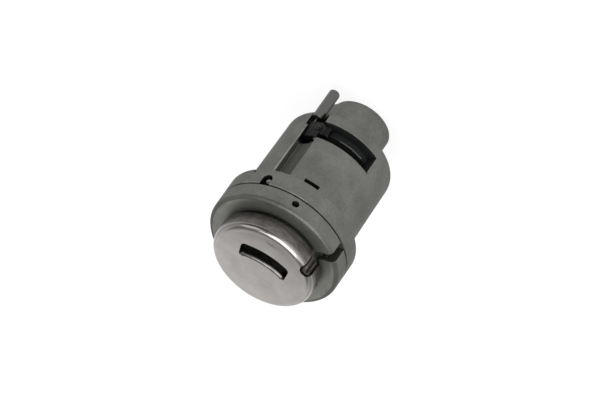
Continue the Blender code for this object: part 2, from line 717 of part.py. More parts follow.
def make_lug():
    """The half-round lug that fills the cap's notch, with a groove for the release wire."""
    top = FACE_Z - SEAT_GAP
    spot = place(LUG_BEARING, LUG_REACH)
    layers = [(circle(spot, LUG_R), CAP_SKIRT_Z + SIDE_GAP)]
    for back, sunk in arc((LUG_CROWN, LUG_CROWN), LUG_CROWN, 180, 90, 2):
        layers.append((circle(spot, LUG_R - back), top - LUG_CROWN * 2 + sunk))
    lug = stacked("lug", layers)
    around_zs = (CAP_SKIRT_Z - PAST, FACE_Z + PAST)
    combine(lug, upright("rim", (0.0, 0.0), LUG_REACH, *around_zs, ROUND), "INTERSECT")
    cut(lug, upright("neck", (0.0, 0.0), NECK_R + SEAT_GAP, around_zs[0], CARRIER_Z, ROUND))
    groove_radii = (LUG_REACH - LUG_GROOVE_DEPTH, LUG_REACH + PAST)
    cut(lug, radial_block("groove", LUG_BEARING, LUG_GROOVE, groove_radii, around_zs))
    return lug


def hinge_rod(name, radius, start, end, segments=COARSE):
    """A cylinder along the shutter's hinge line, between two places along the key."""
    rod = upright(name, (0.0, 0.0), radius, start, end, segments)
    move(rod, Matrix.Rotation(math.radians(90), 4, "Y"))
    return move(rod, Matrix.Translation((0.0, HINGE_ACROSS * MM, HINGE_Z * MM)))


def on_hinge(item):
    """Puts a moving piece's origin on the shutter's hinge line."""
    centre = key_frame() @ Vector((0.0, HINGE_ACROSS * MM, HINGE_Z * MM))
    item.data.transform(Matrix.Translation(-centre))
    item.location = centre
    return item


def make_shutter(dark_steel, steel, spring_steel):
    """The flap that shuts the key opening, with its hinge pin and torsion spring."""
    far = HINGE_ACROSS - FLAP_REACH
    plate_span = (-FLAP_HALF_LENGTH, FLAP_HALF_LENGTH)
    flap = block("shutter_flap", plate_span, (far, HINGE_ACROSS), (HINGE_Z, FLAP_TOP_Z))
    for side in (-1, 1):
        ends = sorted((side * KNUCKLE_INNER, side * (FLAP_HALF_LENGTH - KNUCKLE_INSET)))
        join(flap, hinge_rod("knuckle", KNUCKLE_R, ends[0], ends[1]))
    coil_room = KNUCKLE_INNER - SIDE_GAP
    gap_across = (HINGE_ACROSS - KNUCKLE_R - SEAT_GAP, HINGE_ACROSS + KNUCKLE_R)
    cut(flap, block("gap", (-coil_room, coil_room), gap_across, (HINGE_Z - KNUCKLE_R, FLAP_TOP_Z + PAST)))
    bore_half = FLAP_HALF_LENGTH + PAST
    cut(flap, hinge_rod("bore", SHUTTER_PIN_R + SIDE_GAP, -bore_half, bore_half))
    on_hinge(move(flap, key_frame()))
    flap.data.materials.append(dark_steel)

    pin = hinge_rod("shutter_pin", SHUTTER_PIN_R, -SHUTTER_PIN_HALF, SHUTTER_PIN_HALF, SMALL)
    move(pin, key_frame())
    pin.data.materials.append(steel)

    half = KNUCKLE_INNER - 2 * SEAT_GAP
    # The coil is wound along +Z from its own bottom, then laid along the hinge line.
    flap_leg = [(SHUTTER_COIL_R, -SHUTTER_LEG, 0.0)]
    frame_leg = [(SHUTTER_COIL_R, KNUCKLE_R, 2 * half)]
    spring = coil(
        "shutter_spring", SHUTTER_COIL_R, SHUTTER_WIRE_R, 2 * half, SHUTTER_TURNS,
        lead_in=flap_leg, lead_out=frame_leg,
    )
    move(spring, Matrix.Translation((0.0, 0.0, -half * MM)))
    move(spring, Matrix.Rotation(math.radians(90), 4, "Y"))
    move(spring, Matrix.Translation((0.0, HINGE_ACROSS * MM, HINGE_Z * MM)))
    move(spring, key_frame())
    spring.data.materials.append(spring_steel)
    return flap, pin, spring


def make_rotor(zinc):
    """The plug that turns with the key: tail, core, slotted barrel, flange and head."""
    profile = [
        (0.0, TAIL_RECESS),
        (TAIL_R - TAIL_CHAMFER, TAIL_RECESS),
        (TAIL_R, TAIL_RECESS + TAIL_CHAMFER),
        (TAIL_R, CAM_FOOT_Z),
        (CORE_R, CAM_FOOT_Z),
        (CORE_R, STATOR_REAR_Z),
        (PLUG_R, STATOR_REAR_Z),
        (PLUG_R, HEAD_FLANGE_Z),
        (HEAD_FLANGE_R, HEAD_FLANGE_Z),
        (HEAD_FLANGE_R, HEAD_FLANGE_TOP_Z),
        (NECK_R, HEAD_FLANGE_TOP_Z),
        (NECK_R, HEAD_TOP_Z),
        (0.0, HEAD_TOP_Z),
    ]
    rotor = turned("rotor", profile)
    half = DRIVE_SLOT_WIDTH / 2
    slot_top = TAIL_RECESS + DRIVE_SLOT_DEPTH
    cut(rotor, block("drive", (-half, half), (-TAIL_R - PAST, TAIL_R + PAST), (-PAST, slot_top)))
    for side in (-1, 1):
        span = sorted((side * CORE_FLAT, side * (CORE_R + PAST)))
        cut(rotor, block("flat", (-CORE_R, CORE_R), span, (CAM_FOOT_Z - SIDE_GAP, CAM_RIM_Z + RUN_GAP)))
    stop_margin = STOP_HALF_ANGLE + STOP_PLAY_ANGLE
    stop_span = (STOP_BEARING - stop_margin, STOP_BEARING + KEY_TURN + stop_margin)
    stop_zs = (HEAD_FLANGE_Z - PAST, COUNTERBORE_Z + STOP_HEIGHT + RUN_GAP)
    cut(rotor, sector("stop", stop_span, (STOP_INNER_R - RUN_GAP, HEAD_FLANGE_R + PAST), stop_zs, 8.0))
    for tool in key_cavities() + wafer_slots():
        cut(rotor, move(tool, key_frame()))
    rotor.data.materials.append(zinc)
    return rotor


def key_cavities():
    """Cutters for the room behind the shutter, the keyway and the carrier's pegs."""
    room = FLAP_HALF_LENGTH + SEAT_GAP
    near = HINGE_ACROSS + KNUCKLE_R + SEAT_GAP
    far = HINGE_ACROSS - FLAP_REACH - SWING_ROOM
    swing_floor = HINGE_Z - FLAP_REACH - SWING_ROOM
    step_z = HEAD_FLANGE_Z + SWING_ROOM
    wide = block("wide", (-room, room), (far, near), (step_z, HEAD_TOP_Z + PAST))
    deep_room = FLAP_HALF_LENGTH + SIDE_GAP
    deep_across = (HINGE_ACROSS - FLAP_REACH / 2 - SWING_ROOM, near - SIDE_GAP)
    deep = block("deep", (-deep_room, deep_room), deep_across, (swing_floor, step_z + PAST))
    along = (-KEYWAY_HALF_WIDTH, KEYWAY_HALF_WIDTH)
    keyway = block("keyway", along, (KEYWAY_LOW, KEYWAY_HIGH), (STATOR_REAR_Z + KEYWAY_END, step_z + PAST))
    peg_floor = CARRIER_Z - PEG_LENGTH - SEAT_GAP
    pegs = [
        upright("peg", (side * PEG_ALONG, PEG_ACROSS), PEG_R + SEAT_GAP, peg_floor, FACE_Z) for side in (-1, 1)
    ]
    return [wide, deep, keyway] + pegs


def wafer_side(index):
    """Wafers point to one side and the other by turns."""
    return 1 if index % 2 == 0 else -1


def wafer_height(index):
    """The height of a wafer's middle plane."""
    return WAFER_FIRST_Z + WAFER_PITCH * index


def wafer_slots():
    """Cutters for each wafer's slot and the pocket that its spring lies in."""
    tools = []
    half = WAFER_THICKNESS / 2 + SIDE_GAP
    pocket_half = WAFER_SPRING_R + WAFER_WIRE_R + SIDE_GAP
    across = (WAFER_LOW - SIDE_GAP, WAFER_HIGH + SIDE_GAP)
    for index in range(WAFER_COUNT):
        height = wafer_height(index)
        side = wafer_side(index)
        ear_end = EAR_ALONG + EAR_WIDTH + WAFER_THROW + SEAT_GAP
        ends = sorted((side * SPRING_POCKET_START, side * ear_end))
        tools.append(block("slot", (-PLUG_R - PAST, PLUG_R + PAST), across, (height - half, height + half)))
        pocket_zs = (height - pocket_half, height + pocket_half)
        tools.append(block("pocket", ends, (WAFER_HIGH, EAR_TOP + EAR_ROOM), pocket_zs))
    return tools


def make_stator_sleeve(steel):
    """The fixed sleeve round the rotor, with windows that the wafers lock into."""
    profile = [
        (STATOR_INNER_R, STATOR_REAR_Z),
        (STATOR_OUTER_R, STATOR_REAR_Z),
        (STATOR_OUTER_R, JOINT_Z),
        (STATOR_INNER_R, JOINT_Z),
    ]
    stator = turned("stator_sleeve", profile)
    room = WAFER_THICKNESS / 2 + STATOR_WINDOW_ROOM
    low = wafer_height(0) - room
    high = wafer_height(WAFER_COUNT - 1) + room
    across = (WAFER_LOW - SEAT_GAP, WAFER_HIGH + SEAT_GAP)
    windows = block("windows", (-FLANGE_R, FLANGE_R), across, (low, high))
    cut(stator, move(windows, key_frame()))
    hole_radii = (STATOR_INNER_R - PAST, STATOR_OUTER_R + PAST)
    hole_r = STATOR_PIN_R + SIDE_GAP
    cut(stator, radial_pin("hole", NOTCH_BEARING, STATOR_PIN_Z, hole_r, hole_radii))
    slot_width = 2 * (SLIDER_SPRING_R + SLIDER_WIRE_R + SEAT_GAP)
    slot_zs = (STATOR_REAR_Z - PAST, SLIDER_SPRING_TOP_Z + SEAT_GAP)
    cut(stator, radial_block("slot", FOOT_BEARING, slot_width, hole_radii, slot_zs))
    stator.data.materials.append(steel)
    return stator


def make_wafer(name, side, brass):
    """One wafer: a plate with the key's window, round ends and an ear for its spring."""
    outline = []
    steps = 5
    for i in range(steps + 1):
        across = WAFER_LOW + (WAFER_HIGH - WAFER_LOW) * i / steps
        outline.append((side * math.sqrt(WAFER_OUTER_R**2 - across**2), across))
    ear_end = EAR_ALONG + EAR_WIDTH
    outline += [
        (side * ear_end, WAFER_HIGH),
        (side * ear_end, EAR_TOP),
        (side * EAR_ALONG, EAR_TOP),
        (side * EAR_ALONG, WAFER_HIGH),
    ]
    for i in range(steps + 1):
        across = WAFER_HIGH - (WAFER_HIGH - WAFER_LOW) * i / steps
        outline.append((-side * math.sqrt(WAFER_INNER_R**2 - across**2), across))
    half = WAFER_THICKNESS / 2
    wafer = prism(name, outline, -half, half)
    window_half = KEYWAY_HALF_WIDTH - WAFER_WINDOW_INSET
    window_zs = (-WAFER_THICKNESS, WAFER_THICKNESS)
    cut(wafer, block("window", (-window_half, window_half), (KEYWAY_LOW, KEYWAY_HIGH), window_zs))
    move(wafer, key_frame())
    wafer.data.materials.append(brass)
    return wafer


def make_wafer_spring(name, side, spring_steel):
    """The spring between its pocket's floor and the wafer's ear."""
    length = EAR_ALONG - SPRING_POCKET_START - 2 * SEAT_GAP
    spring = coil(name, WAFER_SPRING_R, WAFER_WIRE_R, length, WAFER_SPRING_TURNS, per_turn=6)
    move(spring, Matrix.Rotation(math.radians(side * 90), 4, "Y"))
    start = Vector((side * (SPRING_POCKET_START + SEAT_GAP), WAFER_HIGH + EAR_HEIGHT / 2 + EAR_ROOM / 2, 0.0)) * MM
    move(spring, Matrix.Translation(start))
    move(spring, key_frame())
    spring.data.materials.append(spring_steel)
    return spring


def make_wafers(brass, spring_steel):
    """All wafers and springs; those on one side share a mesh."""
    shared = {}
    for index in range(WAFER_COUNT):
        side = wafer_side(index)
        if side not in shared:
            wafer = make_wafer(f"wafer_{index + 1}", side, brass)
            spring = make_wafer_spring(f"wafer_spring_{index + 1}", side, spring_steel)
            shared[side] = (wafer.data, spring.data)
        else:
            wafer_mesh, spring_mesh = shared[side]
            wafer = bpy.data.objects.new(f"wafer_{index + 1}", wafer_mesh)
            spring = bpy.data.objects.new(f"wafer_spring_{index + 1}", spring_mesh)
            for item in (wafer, spring):
                bpy.context.scene.collection.objects.link(item)
        for item in (wafer, spring):
            item.location.z = wafer_height(index) * MM


def make_cam_sleeve(black):
    """The sleeve and hub on the rotor's core: its rim is a face cam that lifts the slider."""
    profile = [
        (0.0, CAM_FOOT_Z),
        (STATOR_OUTER_R, CAM_FOOT_Z),
        (STATOR_OUTER_R, CAM_RIM_Z),
        (HUB_R, CAM_RIM_Z),
        (HUB_R, HUB_TOP_Z),
        (0.0, HUB_TOP_Z),
    ]
    sleeve = turned("cam_sleeve", profile)
    join(sleeve, make_cam_ramp())
    bore_r = CORE_R + SEAT_GAP
    bore = upright("bore", (0.0, 0.0), bore_r, CAM_FOOT_Z - PAST, STATOR_REAR_Z, ROUND)
    for side in (-1, 1):
        span = sorted((side * (CORE_FLAT + SEAT_GAP), side * (bore_r + PAST)))
        cut(bore, block("flat", (-bore_r - PAST, bore_r + PAST), span, (CAM_FOOT_Z - 2 * PAST, CAM_RIM_Z)))
    cut(sleeve, bore)
    sleeve.data.materials.append(black)
    return sleeve


def make_cam_ramp():
    """A ramp on the sleeve's rim that rises steadily over the key's whole turn."""
    inner = HUB_R - SIDE_GAP
    foot_angle = math.degrees(math.asin(FOOT_HALF_WIDTH / FOOT_INNER_R))
    start = FOOT_BEARING + foot_angle
    steps = 14
    base_z = CAM_RIM_Z - CAM_LENGTH / 2
    stations = [(start + KEY_TURN * i / steps, CAM_RIM_Z + CAM_LIFT * i / steps) for i in range(steps + 1)]
    stations.append((start + KEY_TURN + CAM_DWELL, CAM_RIM_Z + CAM_LIFT))
    bm = bmesh.new()
    sections = []
    for bearing, top in stations:
        near = place(bearing, inner)
        far = place(bearing, STATOR_OUTER_R)
        corners = ((near, base_z), (far, base_z), (far, top), (near, top))
        sections.append([bm.verts.new((x * MM, y * MM, z * MM)) for (x, y), z in corners])
    bm.faces.new(sections[0])
    bm.faces.new(list(reversed(sections[-1])))
    for here, ahead in zip(sections, sections[1:]):
        for i in range(4):
            bm.faces.new((here[i - 1], here[i], ahead[i], ahead[i - 1]))
    return finish_mesh(bm, "ramp")


def make_release_slider(black):
    """The block in the wall's port, with its arm in the slot and its foot on the cam sleeve's rim."""
    span = (PORT_BEARINGS[0] + SLIDER_SIDE_ANGLE, RECESS_BEARING - SLIDER_SIDE_ANGLE)
    outline = sector_outline(span, (SLIDER_INNER_R, SLIDER_OUTER_R), count=4)
    inset = (span[0] + SLIDER_CHAMFER_ANGLE, span[1] - SLIDER_CHAMFER_ANGLE)
    tucked = sector_outline(inset, (SLIDER_INNER_R, SLIDER_OUTER_R - SLIDER_CHAMFER), count=4)
    layers = [
        (tucked, SLIDER_Z),
        (outline, SLIDER_Z + SLIDER_CHAMFER),
        (outline, SLIDER_TOP_Z - SLIDER_CHAMFER),
        (tucked, SLIDER_TOP_Z),
    ]
    slider = stacked("release_slider", layers)
    arm_z = SLIDER_Z + ARM_RAISE
    arm_span = (ARM_BEARING, span[0] + SLIDER_SIDE_ANGLE)
    arm_radii = (SLIDER_INNER_R, SLIDER_OUTER_R - SIDE_GAP)
    join(slider, sector("arm", arm_span, arm_radii, (arm_z, arm_z + ARM_LENGTH)))
    foot_zs = (FOOT_Z, FOOT_Z + FOOT_HEIGHT)
    foot_radii = (FOOT_INNER_R, SLIDER_INNER_R + PAST)
    join(slider, radial_block("foot", FOOT_BEARING, 2 * FOOT_HALF_WIDTH, foot_radii, foot_zs))
    socket_top = ROD_SHOULDER_Z + SPIGOT_PIN_LENGTH + SIDE_GAP
    rod_spot = place(ROD_BEARING, ROD_CENTRE_R)
    socket_r = SPIGOT_PIN_R + SIDE_GAP
    cut(slider, upright("socket", rod_spot, socket_r, SLIDER_Z - PAST, socket_top, SMALL))
    slider.data.materials.append(black)
    return slider


def make_release_rod(steel):
    """The round steel rod, turned down at its front end to press into the slider."""
    spot = place(ROD_BEARING, ROD_CENTRE_R)
    rear_z = SHOULDER_Z - ROD_BEHIND_SHOULDER
    front_z = ROD_SHOULDER_Z + SPIGOT_PIN_LENGTH
    profile = [(0.0, rear_z)]
    profile += arc((ROD_R - ROD_TIP_ROUND, rear_z + ROD_TIP_ROUND), ROD_TIP_ROUND, -90, 0, 2)
    profile += [
        (ROD_R, ROD_SHOULDER_Z),
        (SPIGOT_PIN_R, ROD_SHOULDER_Z),
        (SPIGOT_PIN_R, front_z),
        (0.0, front_z),
    ]
    rod = turned("release_rod", profile, COARSE)
    move(rod, Matrix.Translation((spot[0] * MM, spot[1] * MM, 0.0)))
    rod.data.materials.append(steel)
    return rod


def make_slider_spring(spring_steel):
    """The spring between the slider's foot and the end of the stator's slot."""
    low = FOOT_Z + FOOT_HEIGHT + SEAT_GAP
    middle_r = (PLUG_R + BORE_R) / 2
    spring = coil(
        "slider_spring", SLIDER_SPRING_R, SLIDER_WIRE_R, SLIDER_SPRING_TOP_Z - low, SLIDER_SPRING_TURNS
    )
    move(spring, Matrix.Translation((0.0, -middle_r * MM, low * MM)))
    around(spring, FOOT_BEARING)
    spring.data.materials.append(spring_steel)
    return spring


def make_pins(steel):
    """The pin of the collar ring and the pin that holds the stator sleeve."""
    collar_radii = (COUNTERBORE_R + PIN_BITE, FLANGE_R - COLLAR_PIN_SUNK)
    collar_pin = radial_pin("collar_pin", COLLAR_PIN_BEARING, COLLAR_PIN_Z, COLLAR_PIN_R, collar_radii)
    collar_pin.data.materials.append(steel)
    layers = [(circle((0.0, 0.0), STATOR_PIN_R), STATOR_INNER_R + PIN_BITE)]
    for back, sunk in arc((STATOR_PIN_CROWN, STATOR_PIN_CROWN), STATOR_PIN_CROWN, 180, 90, 2):
        layers.append((circle((0.0, 0.0), STATOR_PIN_R - back), STATOR_PIN_END_R - STATOR_PIN_CROWN * 2 + sunk))
    stator_pin = stacked("stator_pin", layers)
    move(stator_pin, Matrix.Rotation(math.radians(90), 4, "X"))
    move(stator_pin, Matrix.Translation((0.0, 0.0, STATOR_PIN_Z * MM)))
    around(stator_pin, NOTCH_BEARING)
    stator_pin.data.materials.append(steel)


def main():
    clear_scene()
    zinc = material("zinc_casting", (0.33, 0.33, 0.31), 0.45, 1.0)
    stainless = material("stainless_pressing", (0.62, 0.61, 0.60), 0.22, 1.0)
    steel = material("steel_pin", (0.45, 0.45, 0.44), 0.35, 1.0)
    dark_steel = material("blackened_steel", (0.03, 0.03, 0.03), 0.4, 1.0)
    spring_steel = material("spring_wire", (0.35, 0.35, 0.36), 0.3, 1.0)
    brass = material("wafer_brass", (0.55, 0.40, 0.16), 0.35, 1.0)
    black = material("black_polymer", (0.015, 0.016, 0.016), 0.4, 0.0)
    make_housing(zinc)
    make_collar_ring(zinc)
    make_pins(steel)
    make_stator_sleeve(steel)
    make_rotor(zinc)
    make_cam_sleeve(black)
    make_shutter_carrier(zinc)
    make_face_cap(stainless)
    make_shutter(dark_steel, steel, spring_steel)
    make_wafers(brass, spring_steel)
    make_release_slider(black)
    make_release_rod(steel)
    make_slider_spring(spring_steel)


main()
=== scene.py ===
# %% [markdown]
# # An ignition lock cylinder, dressed for its portrait
#
# The CAD solids of a car's ignition lock are loaded as a fixed frame. On the real part
# the barrel and collar are zinc die castings, the key face is a cap pressed from bright
# stainless sheet, and the moving parts behind the slot in the wall are black polymer.
# Each piece that shows is modelled again here with finer curves, sits where its solid
# sits, and rides on the same body, so that it moves when the key turns.

import json
import math

import bpy
from mathutils import Matrix, Vector


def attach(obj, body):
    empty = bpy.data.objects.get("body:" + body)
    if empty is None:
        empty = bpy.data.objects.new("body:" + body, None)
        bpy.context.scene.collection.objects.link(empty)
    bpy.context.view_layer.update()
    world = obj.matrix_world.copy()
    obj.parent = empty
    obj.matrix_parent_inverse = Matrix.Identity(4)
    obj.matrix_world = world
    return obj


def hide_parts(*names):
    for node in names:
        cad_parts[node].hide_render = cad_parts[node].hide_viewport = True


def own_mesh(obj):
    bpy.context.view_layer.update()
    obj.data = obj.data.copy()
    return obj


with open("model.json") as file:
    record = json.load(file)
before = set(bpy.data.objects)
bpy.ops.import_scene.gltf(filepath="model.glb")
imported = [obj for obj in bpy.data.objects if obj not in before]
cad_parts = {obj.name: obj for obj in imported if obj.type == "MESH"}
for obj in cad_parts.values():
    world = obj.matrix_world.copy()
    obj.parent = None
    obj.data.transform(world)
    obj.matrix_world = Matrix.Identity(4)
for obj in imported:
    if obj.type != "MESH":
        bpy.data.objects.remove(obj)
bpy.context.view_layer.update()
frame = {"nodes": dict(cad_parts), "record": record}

# %% [markdown]
# ## Sizes
#
# Everything is worked out in millimetres, as on the drawing of the real part, and turned
# to metres where a mesh is made. Heights run up the barrel from the end of its nose. A
# place round the barrel is a bearing: 0 is the side with the slot, and it grows towards +X.

# %% Sizes of the barrel, collar and cap
MM = 0.001

NOSE_R = 6.7
SHOULDER_Z = 8.8
BODY_REAR_R = 12.2
BODY_FRONT_R = 12.5
BORE_R = 10.0
BORE_FLOOR_Z = 10.3
TAIL_HOLE_R = 4.4
FLANGE_R = 15.0
FLANGE_REAR_Z = 30.8
JOINT_Z = 35.0
SPIGOT_R = 12.4
SPIGOT_TOP_Z = 37.9
COUNTERBORE_R = 11.5
COUNTERBORE_Z = 35.3
WINDOW_Z = (12.5, 17.5)
PORT_Z = (10.8, 18.4)
COLLAR_FRONT_Z = 39.2
FACE_Z = 44.5
CAP_R = 11.6
CAP_SKIRT_Z = 40.2
KEY_TILT = math.radians(6.5)

# %% Places and sizes of the small features
STRIP_BEARING = 48.5
NOTCH_BEARING, NOTCH_WIDTH, NOTCH_Z = 38.5, 2.3, 33.6
STATOR_PIN_HOLE_R, STATOR_PIN_Z = 0.95, 33.4
COLLAR_PIN_BEARING, COLLAR_PIN_HOLE_R, COLLAR_PIN_Z = 6.3, 0.82, 36.9
SPLIT_BEARING, SPLIT_WIDTH = -48.0, 2.2
POCKET_BEARING, POCKET_WIDTH, POCKET_Z = 5.8, 3.5, (28.4, 30.25)
OPENING_LENGTH, OPENING_WIDTH, OPENING_MIDDLE = 11.1, 4.1, 3.2
OUTSIDE_R = FLANGE_R - 0.4

# %% [markdown]
# ## A few habits of the hand
#
# Operators act on whatever is selected, so each step starts with nothing selected and
# then picks what it needs. These helpers keep that habit, and they name the moves that a
# lathe, a saw and a drill make on the real part.


# %% Helpers: selection and clean-up
def put_down_everything():
    """Leaves edit mode and deselects all objects."""
    if bpy.context.object and bpy.context.object.mode != "OBJECT":
        bpy.ops.object.mode_set(mode="OBJECT")
    bpy.ops.object.select_all(action="DESELECT")


def take_up(piece):
    """Makes one object the selected and active one."""
    put_down_everything()
    piece.select_set(True)
    bpy.context.view_layer.objects.active = piece


def settle(piece, name=None):
    """Puts a piece's place and turn into its mesh, and leaves its object at the origin."""
    take_up(piece)
    if name:
        piece.name = name
        piece.data.name = name
    bpy.ops.object.transform_apply(location=True, rotation=True, scale=True)
    bpy.ops.object.mode_set(mode="EDIT")
    bpy.ops.mesh.select_all(action="SELECT")
    bpy.ops.mesh.remove_doubles(threshold=0.000001)
    bpy.ops.mesh.normals_make_consistent(inside=False)
    bpy.ops.object.mode_set(mode="OBJECT")
    return piece


def let_go(piece):
    """Deselects every corner, edge and face of a mesh."""
    take_up(piece)
    for group in (piece.data.vertices, piece.data.edges, piece.data.polygons):
        for item in group:
            item.select = False


def select_faces(piece, test):
    """Selects the faces that pass a test, and opens edit mode on them."""
    let_go(piece)
    for face in piece.data.polygons:
        face.select = test(face)
    bpy.ops.object.mode_set(mode="EDIT")
    bpy.ops.mesh.select_mode(type="FACE")


def select_edges(piece, test):
    """Selects the edges whose two ends pass a test, and opens edit mode on them."""
    let_go(piece)
    for edge in piece.data.edges:
        edge.select = test(*(piece.data.vertices[i].co for i in edge.vertices))
    bpy.ops.object.mode_set(mode="EDIT")
    bpy.ops.mesh.select_mode(type="EDGE")


def swing_to(piece, bearing):
    """Turns a piece that was made facing bearing 0 round the barrel to its own bearing."""
    piece.rotation_euler = (0, 0, math.radians(bearing))
    return settle(piece)


# %% [markdown]
# The lathe: a rim is extruded from station to station of a profile, and scaled to each
# radius. A closed profile makes a ring, and a solid one starts and ends with a flat disc.


# %% Helpers: turning
def turn(name, profile, segments, solid=False):
    """Turns a profile of (radius, height) stations in mm into a round piece."""
    put_down_everything()
    first_radius, first_height = profile[0]
    bpy.ops.mesh.primitive_circle_add(
        vertices=segments,
        radius=first_radius * MM,
        fill_type="NGON" if solid else "NOTHING",
        location=(0, 0, first_height * MM),
    )
    piece = bpy.context.object
    bpy.ops.object.mode_set(mode="EDIT")
    bpy.ops.mesh.select_all(action="SELECT")
    stations = profile if solid else profile + profile[:1]
    for (radius, height), (next_radius, next_height) in zip(stations, stations[1:]):
        step = {"value": (0, 0, (next_height - height) * MM)}
        if solid:
            bpy.ops.mesh.extrude_region_move(TRANSFORM_OT_translate=step)
        else:
            bpy.ops.mesh.extrude_edges_move(TRANSFORM_OT_translate=step)
        scale = next_radius / radius
        bpy.ops.transform.resize(value=(scale, scale, 1), center_override=(0, 0, next_height * MM))
    return settle(piece, name)


def rounded(corner_r, corner_z, radius, start, end, steps=5):
    """Stations of a rounded corner about a centre in the profile, angles in degrees."""
    stations = []
    for i in range(steps + 1):
        angle = math.radians(start + (end - start) * i / steps)
        stations.append((corner_r + radius * math.cos(angle), corner_z + radius * math.sin(angle)))
    return stations


# %% [markdown]
# The cutters: a block bent round the axis is a face spun through an angle, and a drill is
# a cylinder that points out from the axis. Each one is used up by the cut that it makes.


# %% Helpers: cutting
def bent_block(bearings, radii, heights, step=2.0):
    """A solid between two bearings, two radii and two heights."""
    put_down_everything()
    bpy.ops.mesh.primitive_plane_add(size=1, rotation=(math.pi / 2, 0, 0))
    block = settle(bpy.context.object, "cutter")
    bpy.ops.object.mode_set(mode="EDIT")
    bpy.ops.mesh.select_all(action="SELECT")
    width = (radii[1] - radii[0]) * MM
    height = (heights[1] - heights[0]) * MM
    bpy.ops.transform.resize(value=(width, 1, height), center_override=(0, 0, 0))
    middle = (sum(radii) / 2 * MM, 0, sum(heights) / 2 * MM)
    bpy.ops.transform.translate(value=middle)
    span = bearings[1] - bearings[0]
    # The spin operator turns clockwise for a positive angle, and bearings grow the other way.
    bpy.ops.mesh.spin(
        steps=max(2, round(span / step)), angle=-math.radians(span),
        center=(0, 0, 0), axis=(0, 0, 1),
    )
    return swing_to(block, bearings[0] - 90)


def box(across, along, heights):
    """A box between two places each way."""
    put_down_everything()
    sides = (across, along, heights)
    bpy.ops.mesh.primitive_cube_add(size=1, location=[sum(side) / 2 * MM for side in sides])
    block = bpy.context.object
    block.scale = [(high - low) * MM for low, high in sides]
    return settle(block, "cutter")


def straight_block(bearing, width, radii, heights):
    """A box that faces a bearing, between two radii and two heights."""
    block = box((-width / 2, width / 2), (-radii[1], -radii[0]), heights)
    return swing_to(block, bearing)


def drill(bearing, radius, radii, height, segments=32):
    """A cylinder that points out from the axis at a bearing and a height."""
    put_down_everything()
    middle = (0, -sum(radii) / 2 * MM, height * MM)
    bpy.ops.mesh.primitive_cylinder_add(
        vertices=segments, radius=radius * MM, depth=(radii[1] - radii[0]) * MM,
        location=middle, rotation=(math.pi / 2, 0, 0),
    )
    return swing_to(settle(bpy.context.object, "cutter"), bearing)


def upright_drill(centre, radius, heights, segments=48):
    """A cylinder along the axis, at an (x, y) in mm."""
    put_down_everything()
    bpy.ops.mesh.primitive_cylinder_add(
        vertices=segments, radius=radius * MM, depth=(heights[1] - heights[0]) * MM,
        location=(centre[0] * MM, centre[1] * MM, sum(heights) / 2 * MM),
    )
    return settle(bpy.context.object, "cutter")


def at(bearing, radius):
    """The (x, y) in mm of a bearing at a radius."""
    angle = math.radians(bearing)
    return radius * math.sin(angle), -radius * math.cos(angle)


def carve(piece, *tools, how="DIFFERENCE"):
    """Cuts each tool out of a piece, or joins it on, and throws the tool away."""
    for tool in tools:
        take_up(piece)
        cut = piece.modifiers.new("cut", "BOOLEAN")
        cut.object = tool
        cut.operation = how
        cut.solver = "EXACT"
        bpy.ops.object.modifier_apply(modifier=cut.name)
        bpy.data.objects.remove(tool, do_unlink=True)


def smooth(piece, angle=30):
    """Shades round faces smooth and leaves true corners sharp."""
    take_up(piece)
    bpy.ops.object.shade_smooth_by_angle(angle=math.radians(angle))
    print(f"{piece.name}: {len(piece.data.polygons)} faces")


# %% [markdown]
# ## Colours and nodes
#
# Colours are written as the sRGB hex values that a colour picker reads off a photograph.
# Blender's shaders want linear light, so one function turns them over, and one small
# function adds a node with its settings and links.


# %% Helpers: colours and nodes
def linear(hex_colour):
    """An sRGB hex colour as linear red, green, blue and alpha."""
    channels = []
    for i in (1, 3, 5):
        value = int(hex_colour[i : i + 2], 16) / 255
        channels.append(value / 12.92 if value <= 0.04045 else ((value + 0.055) / 1.055) ** 2.4)
    return (*channels, 1.0)


def add(tree, kind, settings=None, links=None):
    """Adds a node; settings name its properties or sockets, links name its sockets."""
    node = tree.nodes.new("ShaderNode" + kind)
    for key, value in (settings or {}).items():
        if isinstance(key, str) and key[0].islower():
            setattr(node, key, value)
        else:
            node.inputs[key].default_value = value
    for key, source in (links or {}).items():
        tree.links.new(source, node.inputs[key])
    return node


def blank_finish(name):
    """A new material, its node tree, its shader and the object coordinates to draw on."""
    finish = bpy.data.materials.new(name)
    finish.use_nodes = True
    tree = finish.node_tree
    shader = tree.nodes["Principled BSDF"]
    place = add(tree, "TexCoord").outputs["Object"]
    return finish, tree, shader, place


def grain(tree, place, size_mm, detail=4.0, roughness=0.55):
    """Noise whose blotches are about size_mm across."""
    return add(
        tree, "TexNoise",
        {"Scale": 1000 / size_mm, "Detail": detail, "Roughness": roughness},
        {"Vector": place},
    )


def spread(tree, source, low, high, from_low=0.3, from_high=0.7):
    """Maps a noise's middle range to the range that a socket wants."""
    return add(
        tree, "MapRange",
        {"From Min": from_low, "From Max": from_high, "To Min": low, "To Max": high},
        {"Value": source},
    ).outputs["Result"]


def edge_wear_and_glint_mask(tree, radius_mm, reach):
    """A mask for painted edge highlights and wear: white along outer and inner corners, where a
    rounded normal leaves the true one.
    """
    soft = add(tree, "Bevel", {"samples": 6, "Radius": radius_mm * MM})
    true = add(tree, "NewGeometry")
    dot = add(
        tree, "VectorMath", {"operation": "DOT_PRODUCT"},
        {0: soft.outputs[0], 1: true.outputs["Normal"]},
    )
    return add(
        tree, "MapRange", {"From Min": 1.0, "From Max": 1.0 - reach, "To Min": 0.0, "To Max": 1.0},
        {"Value": dot.outputs["Value"]},
    ).outputs["Result"]
